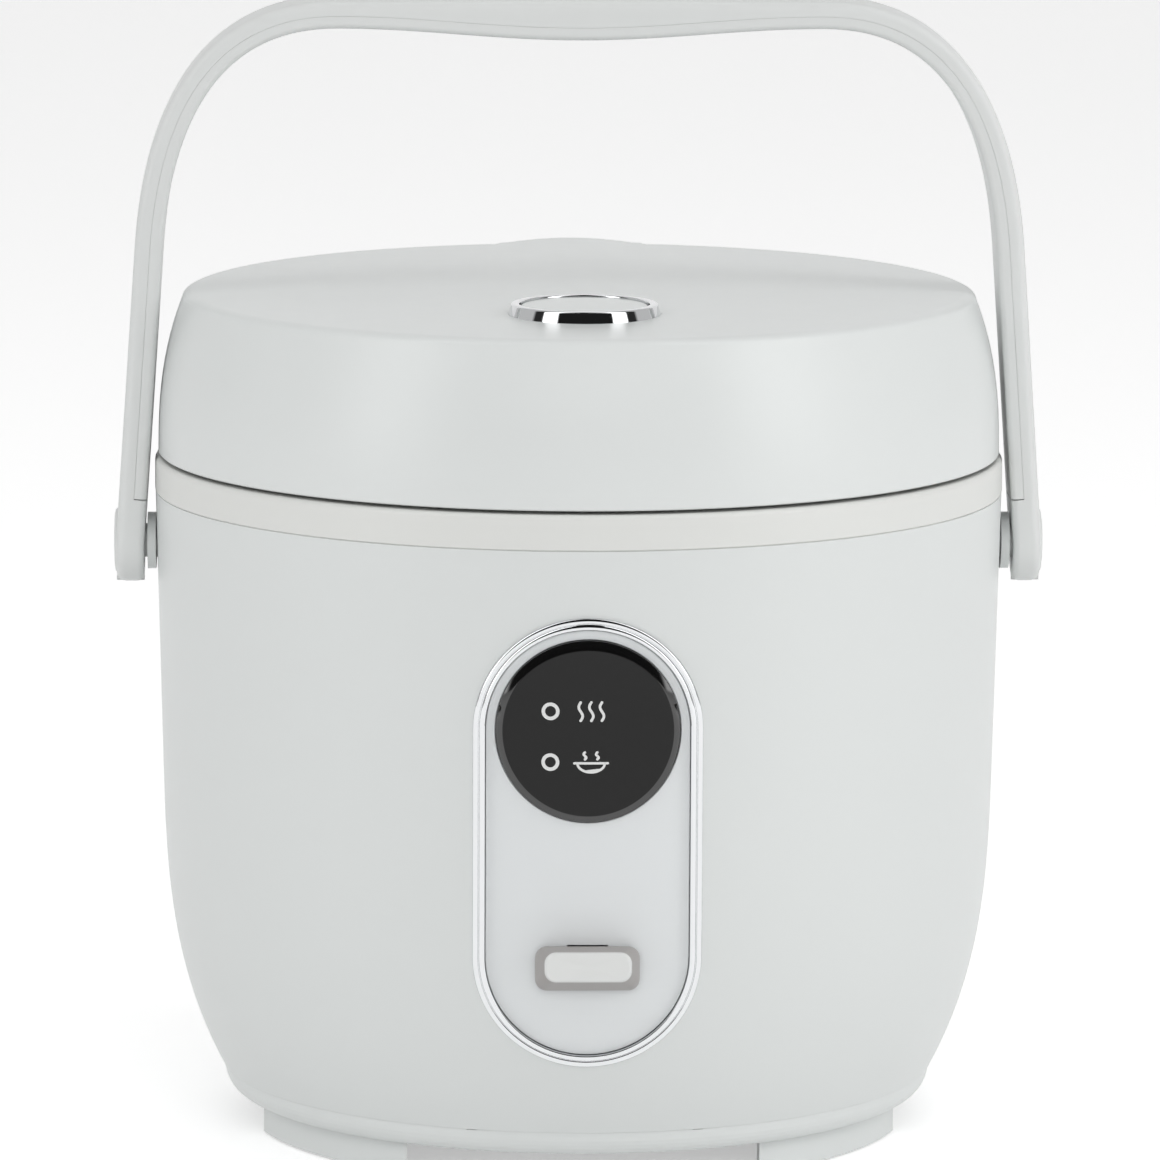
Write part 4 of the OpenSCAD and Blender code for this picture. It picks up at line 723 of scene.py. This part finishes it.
heat = [wave(x, WARM_Z - 0.0021, WARM_Z + 0.0021, 0.00045) for x in (-0.0018, 0.0006, 0.003)]
printed("warm_sign", heat, SIGN_W)
rim_z = COOK_Z - 0.0002
bowl = [(0.0006 + 0.0031 * math.cos(a), rim_z + 0.0021 * math.sin(a))
        for a in [math.pi + math.pi * t / 20 for t in range(21)]]
bowl_rim = [(-0.0032 + 0.0076 * t / 12, rim_z) for t in range(13)]
steam = [wave(x, COOK_Z + 0.0007, COOK_Z + 0.0023, 0.0003) for x in (-0.0008, 0.002)]
printed("cook_sign", [bowl, bowl_rim] + steam, 0.00055)
dress(moulded("board_green", (34, 96, 60), gloss=(0.25, 0.35), drift=0.05), "indicator_board")
dress(moulded("led_red", (190, 80, 66), gloss=(0.1, 0.15), coat=0.5), "indicator_leds")

# ---- Cook key ----
# Hollow moulded cap pressed onto the lever's neck: a tapered block with a soft-edged face set high,
# so the thumb finds it from above. Its face is white, and its sides behind the face carry painted shade in
# a dark warm grey.
key_low, key_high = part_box("lever_key")
key_z = (key_low[2] + key_high[2]) / 2
key_back, key_front = key_high[1], key_low[1]
key_white = moulded("key_white", (226, 227, 226), gloss=(0.3, 0.38))
key_tree = key_white.node_tree
# Painted shade: everything behind the face's front edge is mixed from white to a dark warm grey.
key_place = add(key_tree, "ShaderNodeSeparateXYZ", {0: key_tree.nodes["place"].outputs["Object"]}).outputs
key_shade_fade = {"Value": key_place["Y"], "From Min": key_front + 0.0007, "From Max": key_front + 0.0011}
key_shade_mask = add(key_tree, "ShaderNodeMapRange", key_shade_fade, interpolation_type="SMOOTHSTEP")
key_painted_shade = add(key_tree, "ShaderNodeMix", data_type="RGBA")
key_painted_shade.inputs["A"].default_value = (0.75, 0.76, 0.75, 1)
key_painted_shade.inputs["B"].default_value = (0.36, 0.34, 0.33, 1)
key_tree.links.new(key_shade_mask.outputs[0], key_painted_shade.inputs["Factor"])
key_tree.links.new(key_painted_shade.outputs["Result"], key_tree.nodes["surface"].inputs["Colour"])


def rounded(width, height, radius, y, z, steps=8):
    """Rounded rectangle facing the front, counterclockwise from the right."""
    points = []
    for k, (sx, sz) in enumerate(((1, 1), (-1, 1), (-1, -1), (1, -1))):
        for t in range(steps + 1):
            a = math.pi / 2 * (k + t / steps)
            points.append((sx * (width / 2 - radius) + radius * math.cos(a), y,
                           z + sz * (height / 2 - radius) + radius * math.sin(a)))
    return points


KEY_W, KEY_H, FACE_W, FACE_H, FACE_EDGE = 0.0238, 0.0101, 0.019, 0.0062, 0.0006
face_z = key_z + KEY_H / 2 - 0.0002 - FACE_H / 2
brow_w, brow_h = FACE_W + FACE_EDGE, FACE_H + FACE_EDGE
foot_y = key_back - 0.0009
key_rings = [rounded(KEY_W - 0.0006, KEY_H - 0.0006, 0.0024, key_back, key_z),
             rounded(KEY_W, KEY_H, 0.0027, key_back - 0.0003, key_z),
             rounded(KEY_W, KEY_H, 0.0027, foot_y, key_z)]
for t in range(1, 7):
    share = t / 7
    y = foot_y - (foot_y - key_front - FACE_EDGE) * share
    key_rings.append(rounded(KEY_W + (brow_w - KEY_W) * share, KEY_H + (brow_h - KEY_H) * share, 0.0026, y,
                             key_z + (face_z - key_z) * share))
for t in range(9):
    a = math.pi / 2 * t / 8
    inset = FACE_EDGE * (1 - math.cos(a))
    key_rings.append(rounded(brow_w - 2 * inset, brow_h - 2 * inset, 0.0026 - inset * 0.8,
                             key_front + FACE_EDGE * (1 - math.sin(a)), face_z))
for share, sink in ((0.8, 0.00008), (0.5, 0.00022), (0.2, 0.0003)):
    key_rings.append(rounded(0.0182 * share, 0.0046 * share, 0.0016 * share, key_front + sink, face_z))
key_cap = loft("key_cap", key_rings, closed=False)
painted(key_cap, key_white, 40)
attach(key_cap, "lever")
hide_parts("lever_key")

# ---- Handle ----
# Bail moulded in PP: a flat strap with rounded shoulders and a slightly thicker, sagging grip. A
# cover strip closes its inner side, and round caps hide the screws on the two pivot studs.
handle_white = moulded("handle_white", (219, 221, 220))
dress(body_white, "handle_studs")
dress(zinc, "handle_screws")
ARM_X, ARM_T, ARM_H, ARM_LEAN = 0.1059, 0.0066, 0.0695, 0.0047
GRIP_HALF, GRIP_RISE, GRIP_SWELL, GRIP_SAG = 0.057, 0.1253, 0.003, 0.0012
LUG_R, STRAP_HALF, INNER_EDGE, OUTER_EDGE, OUTER_CROWN = 0.0096, 0.0095, 0.0016, 0.0022, 0.00015
STRIP_START, STRIP_T, STRIP_HALF, SHARP = 0.0111, 0.00298, 0.00944, 0.00008


def bezier(a, b, c, d, t):
    """Point on a curve from a to d, pulled towards b and c."""
    u = 1 - t
    return tuple(a[k] * u ** 3 + 3 * b[k] * t * u ** 2 + 3 * c[k] * t * t * u + d[k] * t ** 3
                 for k in (0, 1))


def swell(x):
    """1 in the middle of the grip, falling to 0 at its ends."""
    return (1 + math.cos(math.pi * x / GRIP_HALF)) / 2 if abs(x) < GRIP_HALF else 0.0


def bail_half():
    """Centreline of the right half from the pivot to the middle, as x and height over the pivot."""
    length = math.hypot(ARM_H, ARM_LEAN)
    top = (ARM_X - ARM_LEAN, ARM_H)
    pull = (top[0] - 0.0345 * ARM_LEAN / length, top[1] + 0.0345 * ARM_H / length)
    heights = [0, 0.003, 0.006, 0.0085, STRIP_START - 0.0002, STRIP_START - 0.0001, STRIP_START + 0.0001]
    heights += [STRIP_START + (ARM_H - STRIP_START) * k / 12 for k in range(1, 12)]
    path = [(ARM_X - ARM_LEAN * h / ARM_H, h) for h in heights]
    path += [bezier(top, pull, (0.0853, GRIP_RISE), (GRIP_HALF, GRIP_RISE), k / 40) for k in range(40)]
    grip = [GRIP_HALF * (1 - k / 30) for k in range(31)]
    return path + [(x, GRIP_RISE - GRIP_SAG * swell(x)) for x in grip]


half = bail_half()
path = half + [(-x, h) for x, h in reversed(half[:-1])]


def bail_ring(x, h, normal, low, high, edges, width, drop=0.0, crown=0.0):
    """Closed section of the strap between low and high along its normal, with two edge radii."""
    nx, nz = normal
    bend = [(1 - math.sin(math.pi / 2 * t / 6), 1 - math.cos(math.pi / 2 * t / 6)) for t in range(7)]
    profile = [(low + edges[0] * rise, edges[0] * inset) for rise, inset in reversed(bend)]
    profile += [(high - edges[1] * rise, edges[1] * inset) for rise, inset in bend]

    def reach(inset):
        return math.sqrt(max((width + 0.0001 - inset) ** 2 - drop ** 2, 1e-9)) if drop else width - inset

    def point(off, y):
        return (x + nx * off, y, PIVOT_Z + h + nz * off)

    ring = [point(off, -reach(inset)) for off, inset in profile]
    ring.append(point(high + crown, 0))
    ring += [point(off, reach(inset)) for off, inset in reversed(profile)]
    ring.append(point(low, 0))
    return ring


def bail_normal(k):
    ahead, behind = path[min(k + 1, len(path) - 1)], path[max(k - 1, 0)]
    dx, dh = ahead[0] - behind[0], ahead[1] - behind[1]
    span = math.hypot(dx, dh)
    return dh / span, -dx / span


def lug_ring(sign, drop):
    """Section of the round end below the pivot."""
    return bail_ring(sign * ARM_X, -drop, (sign, 0), -ARM_T / 2, ARM_T / 2, (INNER_EDGE, OUTER_EDGE),
                     STRAP_HALF, drop)


lug_drops = [min(LUG_R * math.sin(math.pi / 2 * t / 10), 0.00955) for t in range(10, 0, -1)]
bow_rings = [lug_ring(1, drop) for drop in lug_drops]
strip_rings = []
for k, (x, h) in enumerate(path):
    thick = (ARM_T + GRIP_SWELL * swell(x)) / 2
    stripped = h > STRIP_START - 0.00015
    low, inner = (-thick + 0.003, SHARP) if stripped else (-thick, INNER_EDGE)
    bow_rings.append(bail_ring(x, h, bail_normal(k), low, thick, (inner, OUTER_EDGE), STRAP_HALF,
                               crown=OUTER_CROWN))
    if h >= STRIP_START:
        strip_rings.append(bail_ring(x, h, bail_normal(k), -thick, -thick + STRIP_T, (0.0014, SHARP),
                                     STRIP_HALF))
bow_rings += [lug_ring(-1, drop) for drop in reversed(lug_drops)]
bow = loft("handle_bail", bow_rings, closed=False)
bores = (("stud_bore", 0.1, 0.106, 0.00405), ("screw_bore", 0.1058, 0.1085, 0.0064),
         ("cap_seat", 0.1075, 0.111, 0.00775))
for sign in (-1, 1):
    for name, near, far, radius in bores:
        cut(bow, rod(name, (sign * near, 0, PIVOT_Z), (sign * far, 0, PIVOT_Z), radius))
painted(bow, handle_white, 28)
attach(bow, "handle")
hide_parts("handle_bow")

strip = loft("handle_cover_strip", strip_rings, closed=False)
painted(strip, handle_white, 40)
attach(strip, "handle")
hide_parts("handle_strip")


def turned(name, section, place=(0, 0, 0), sides=96, along_x=False):
    """Closed ring of revolution from a closed section of radius and height."""
    rings = []
    for k in range(sides):
        c, s = math.cos(math.tau * k / sides), math.sin(math.tau * k / sides)
        if along_x:
            rings.append([(z, place[1] + r * c, place[2] + r * s) for r, z in section])
        else:
            rings.append([(place[0] + r * c, place[1] + r * s, z) for r, z in section])
    return loft(name, rings)


def joined(name, pieces):
    """One mesh from several pieces that share a body."""
    work = bmesh.new()
    for piece in pieces:
        work.from_mesh(piece.data)
        bpy.data.meshes.remove(piece.data)
    return shaped(name, work)


# Each pair is a radius and how far out it stands; the middle is a pinhole that the eye can't see.
AXIS_R = 0.00001
cap_section = ((0.00765, 0.1076), (0.00765, 0.1089), (0.0075, 0.1092), (0.0071, 0.10945), (0.006, 0.1096),
               (0.004, 0.1097), (0.002, 0.10975), (AXIS_R, 0.10977), (AXIS_R, 0.1076))
caps = [turned("cap", [(r, sign * x) for r, x in cap_section], (0, 0, PIVOT_Z), 64, along_x=True)
        for sign in (-1, 1)]
pivot_caps = outward(joined("pivot_caps", caps))
painted(pivot_caps, handle_white, 40)
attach(pivot_caps, "handle")
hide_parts("handle_caps")

# ---- Lid shell ----
# One PP moulding: tapered side, soft edge, faintly crowned top. A low fairing flares into the top
# from the hinge at the rear, a round well takes the button, and two lugs turn on the hinge pin.
lid_white = moulded("lid_white", (224, 227, 226), gloss=(0.3, 0.38))
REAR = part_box("lid_shell")[1][1]
LID_Z, LID_TOP, LID_R, LID_WALL = 0.1603, 0.1992, 0.0992, 0.0022
EDGE_Z, CREST_R = 0.19656, 0.09024
FAIRING_TOP, FAIRING_FOOT, FAIRING_EDGE, FAIRING_REAR = 0.1992, 0.1702, 0.005, 0.0946


def side_r(z):
    return LID_R - 0.0068 * (max(0.0, z - LID_Z) / 0.0389) ** 2.5


def crown_z(r):
    return LID_TOP - 0.001 * (r / LID_R) ** 2


def ease(low, high, value):
    t = min(1.0, max(0.0, (value - low) / (high - low)))
    return t * t * (3 - 2 * t)


def fairing_share(x, y):
    """1 on the fairing's face and 0 off it: wide and rounded in front, narrow at the rear."""
    half_width = 0.0165 + 0.0188 * math.sin(math.pi / 2 * min(1.0, max(0.0, (0.092 - y) / 0.055)))
    edge = abs(x) / half_width
    return (1 - ease(0.9, 1.04, edge)) * ease(0.004, 0.03, y + 0.009 * (1 - min(1, edge) ** 2))


def arch(x, y):
    """How far the fairing's rear sinks below its middle."""
    return 0.0016 * min(1.2, abs(x) / 0.0168) ** 2 * ease(0.03, 0.1, y)


def top_z(x, y):
    face = FAIRING_TOP - arch(x, y)
    crown = crown_z(math.hypot(x, y))
    return crown + max(0.0, face - crown) * fairing_share(x, y)


def rear_y(z):
    """The fairing's rear face leans forward towards its top."""
    return REAR - 0.009 * max(0.0, z - FAIRING_FOOT) / 0.0236


# Heights of the side's rings, and at the fairing's foot how far each one steps out and at what height.
SIDE = (0.1603, 0.1606, 0.162, 0.164, 0.166, 0.1675, 0.1681, 0.1683, 0.1687, 0.1692, 0.1698, 0.171, 0.173,
        0.176, 0.179, 0.182, 0.185, 0.1875, 0.19, 0.1925, 0.1948, EDGE_Z)
STEP_OUT = {0.1681: (0.4, 0.1681), 0.1683: (0.86, 0.1682), 0.1687: (0.97, 0.1686), 0.1692: (1.0, 0.1694)}


def lid_points(angle):
    """Points from the rim up to the middle of the top, at one angle about the axis."""
    c, s = math.cos(angle), math.sin(angle)
    slant = max(s, 0.5)
    points = []

    def rear_share(r):
        return 1 - ease(0.015, 0.02, abs(r * c)) if s > 0 else 0.0

    def place(r, z, far, high):
        share = rear_share(r)
        radius = r + (far - r) * share
        points.append((radius * c, radius * s, z + (high - z) * share))

    for z in SIDE:
        r = side_r(z) - (0.0003 if z == LID_Z else 0)
        out = 0.0 if z < 0.1681 else STEP_OUT.get(z, (1.0, 0))[0]
        high = STEP_OUT[z][1] if z in STEP_OUT else z
        if z > FAIRING_FOOT:
            rise = FAIRING_TOP - FAIRING_EDGE - arch(r * c, 0.1) - FAIRING_FOOT
            high = FAIRING_FOOT + (z - FAIRING_FOOT) * rise / (EDGE_Z - FAIRING_FOOT)
        place(r, z, r + (rear_y(high) / slant - r) * out, high)
    low_r = side_r(EDGE_Z)
    for t in range(1, 11):
        a = math.pi / 2 * t / 10
        r = low_r - (low_r - CREST_R) * (1 - math.cos(a))
        high = FAIRING_TOP - arch(r * c, 0.1) - FAIRING_EDGE + FAIRING_EDGE * math.sin(a)
        place(r, EDGE_Z + (crown_z(CREST_R) - EDGE_Z) * math.sin(a),
              (FAIRING_REAR + FAIRING_EDGE * math.cos(a)) / slant, high)
    for t in range(1, 46):
        r = CREST_R * (1 - t / 46)
        far = r if r < 0.05 else 0.05 + (r - 0.05) * (FAIRING_REAR / slant - 0.05) / (CREST_R - 0.05)
        radius = r + (far - r) * rear_share(r)
        points.append((radius * c, radius * s, top_z(radius * c, radius * s)))
    return points


# Finer steps over the 14 degrees on either side of the rear.
angles = []
turn = math.pi / 2
while turn < math.pi / 2 + math.tau - 1e-9:
    angles.append(turn)
    away = min(turn - math.pi / 2, math.pi / 2 + math.tau - turn)
    turn += math.radians(0.5 if away < math.radians(14) - 1e-9 else 1.5)
lid_rings = [lid_points(a) for a in angles]
count = len(lid_rings[0])
verts = [p for ring in lid_rings for p in ring] + [(0, 0, top_z(0, 0))]
faces = []
for i in range(len(lid_rings)):
    a, b = i * count, (i + 1) % len(lid_rings) * count
    faces += [(a + k, b + k, b + k + 1, a + k + 1) for k in range(count - 1)]
    faces.append((a + count - 1, b + count - 1, len(verts) - 1))
lid_cover = walled(built("lid_cover", verts, faces), LID_WALL)

BUTTON_Y, WELL_R, SEAT_R, ABOVE = -0.05, 0.0156, 0.01765, 0.21
BEZEL_SEAT = crown_z(BUTTON_Y) - 0.0012
cut(lid_cover, rod("well", (0, BUTTON_Y, 0.19), (0, BUTTON_Y, ABOVE), WELL_R, 96))
cut(lid_cover, rod("bezel_seat", (0, BUTTON_Y, BEZEL_SEAT), (0, BUTTON_Y, ABOVE), SEAT_R, 128))
grille_low, grille_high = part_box("steam_grille")
GRILLE_GAP = 0.0001
cut(lid_cover, block("outlet", (grille_low[0] - GRILLE_GAP, REAR - 0.012, grille_low[2] - GRILLE_GAP),
                     (grille_high[0] + GRILLE_GAP, REAR + 0.01, grille_high[2] + GRILLE_GAP)))
STEM_R, CUP_R, CUP_LOW, CUP_FLOOR, CUP_TOP = 0.0044, 0.018, 0.18185, 0.18425, 0.1974
cup_section = ((STEM_R, CUP_LOW), (CUP_R, CUP_LOW), (CUP_R, CUP_TOP), (WELL_R, CUP_TOP),
               (WELL_R, CUP_FLOOR), (STEM_R, CUP_FLOOR))
lid_parts = [lid_cover, turned("button_well", cup_section, (0, BUTTON_Y, 0))]
HINGE_Y, HINGE_Z, LUG_NEAR, LUG_FAR = 0.1042, 0.163, 0.0051, 0.0091
for sign in (-1, 1):
    near, far = sign * LUG_NEAR, sign * LUG_FAR
    left, right = min(near, far), max(near, far)
    lid_parts.append(rod("lug", (near, HINGE_Y, HINGE_Z), (far, HINGE_Y, HINGE_Z), 0.0044, 48))
    lid_parts.append(block("lug_web", (left, 0.0975, 0.1609), (right, HINGE_Y, 0.1674)))
    lid_parts.append(block("lug_root", (left, 0.0985, HINGE_Z), (right, REAR - 0.0005, 0.1712)))
lid_cover = joined("lid_cover", lid_parts)
painted(lid_cover, lid_white, 35)
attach(lid_cover, "lid")
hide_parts("lid_shell")

# ---- Steam outlet ----
# Moulded grille of upright slats in the fairing's rear, fed by a duct from the inner lid.
dress(lid_white, "steam_duct")


def bar_row(tree, size, count, axis, span):
    """Like bars in a row along an axis, whose middles lie within a span about the origin."""
    bar = add(tree, "GeometryNodeMeshCube", {"Size": triple(tree, *size)})
    row = add(tree, "GeometryNodeMeshLine", {"Count": count}, mode="END_POINTS")
    reach = number(tree, "MULTIPLY", span, 0.5)
    for label, sign in (("Start Location", -1.0), ("Offset", 1.0)):
        tree.links.new(triple(tree, **{axis: number(tree, "MULTIPLY", reach, sign)}), row.inputs[label])
    bars = {"Points": row.outputs[0], "Instance": bar.outputs[0]}
    return add(tree, "GeometryNodeInstanceOnPoints", bars).outputs[0]


def grille_tree(material):
    """Upright slats between two rails."""
    inputs = {"Width": 0.024, "Height": 0.012, "Depth": 0.002, "Slats": 7, "Bar": 0.002}
    tree, ins = new_tree("slatted_grille", inputs)
    slats = bar_row(tree, (ins["Bar"], ins["Depth"], ins["Height"]), ins["Slats"], "x",
                    number(tree, "SUBTRACT", ins["Width"], ins["Bar"]))
    rails = bar_row(tree, (ins["Width"], ins["Depth"], ins["Bar"]), 2, "z",
                    number(tree, "SUBTRACT", ins["Height"], ins["Bar"]))
    both = add(tree, "GeometryNodeJoinGeometry")
    for bars in (slats, rails):
        tree.links.new(bars, both.inputs[0])
    return finished(tree, both.outputs[0], material)


grille_size = Vector(grille_high) - Vector(grille_low)
grille_sizes = {"Width": grille_size.x, "Height": grille_size.z, "Depth": grille_size.y, "Slats": 6,
                "Bar": 0.0019}
grille = grown("steam_slats", grille_tree(lid_white), grille_sizes)
grille.data.transform(Matrix.Translation((Vector(grille_low) + Vector(grille_high)) / 2))
soften = grille.modifiers.new("edges", "BEVEL")
soften.width = 0.0002
soften.segments = 2
smooth(applied(grille), 40)
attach(grille, "lid")
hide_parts("steam_grille")

# ---- Underside of the lid ----
# White liner plate on four screws; a stamped aluminium inner lid hangs under it on a silicone
# grommet, and a silicone gasket seals its rim against the pot's flange.
dress(moulded("liner_white", (224, 224, 222), gloss=(0.4, 0.5)), "lid_liner")
dress(zinc, "lid_screws")
dress(pot_aluminium, "inner_lid")
dress(moulded("silicone", (214, 213, 208), gloss=(0.45, 0.6), drift=0.03), "lid_grommet", "lid_gasket")

# ---- Bezel ring and release button ----
# Chrome-plated ring in a seat in the lid, round a white domed pad on a stem. Pressing the pad turns
# the latch under it, and a coil spring lifts it again.
BEZEL_TOP, BEZEL_FOOT_R = crown_z(BUTTON_Y) + 0.0024, 0.0176
bend = [(math.cos(math.pi / 2 * t / 6), math.sin(math.pi / 2 * t / 6)) for t in range(7)]
bezel_section = [(0.015, BEZEL_SEAT), (BEZEL_FOOT_R, BEZEL_SEAT), (BEZEL_FOOT_R, BEZEL_SEAT + 0.0012)]
bezel_section += [(0.01645 + 0.0005 * c, BEZEL_TOP - 0.0005 + 0.0005 * s) for c, s in bend]
bezel_section += [(0.016, BEZEL_TOP + 0.00004), (0.0156, BEZEL_TOP)]
bezel_section += [(0.0154 - 0.0004 * s, BEZEL_TOP - 0.0004 + 0.0004 * c) for c, s in bend]
bezel = turned("button_bezel", bezel_section, (0, BUTTON_Y, 0), 128)
painted(bezel, chrome, 50)
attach(bezel, "lid")
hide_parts("bezel_ring")

button_low, button_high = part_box("release_button")
PAD_R, PAD_EDGE, PAD_FACE_R, PAD_STEM_R = 0.0147, 0.0006, 0.0141, 0.004
pad_foot, pad_rim = BEZEL_TOP - 0.0056, BEZEL_TOP - 0.0011
dome = button_high[2] - BEZEL_TOP + 0.0005
pad_section = [(AXIS_R, button_low[2]), (PAD_STEM_R, button_low[2]), (PAD_STEM_R, pad_foot),
               (0.0144, pad_foot), (PAD_R, BEZEL_TOP - 0.0053), (PAD_R, pad_rim)]
pad_section += [(PAD_R - PAD_EDGE * (1 - c), pad_rim + PAD_EDGE * s) for c, s in bend[1:]]
for t in range(1, 16):
    r = PAD_FACE_R * (1 - t / 15)
    pad_section.append((max(r, AXIS_R), button_high[2] - dome * (r / PAD_FACE_R) ** 2))
pad = turned("button_pad", pad_section, (0, BUTTON_Y, 0), 128)
painted(pad, lid_white, 50)
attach(pad, "button")
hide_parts("release_button")
coil("button_coil", "button_spring", "lid", 0.008, 0.0006, 4, (0, BUTTON_Y),
     press=("button_slide", 0, 0.0025))
dress(zinc, "button_clip", "latch_pin", "latch_strike")
dress(lid_white, "lid_latch")

# ---- Hinge ----
# Steel pin through the collar's ears and the lid's lugs, with a coil spring between them that lifts
# the lid when the latch lets go.
dress(zinc, "hinge_pin")
coil("hinge_coil", "hinge_spring", "root", 0.0032, 0.0006, 8, across=True)
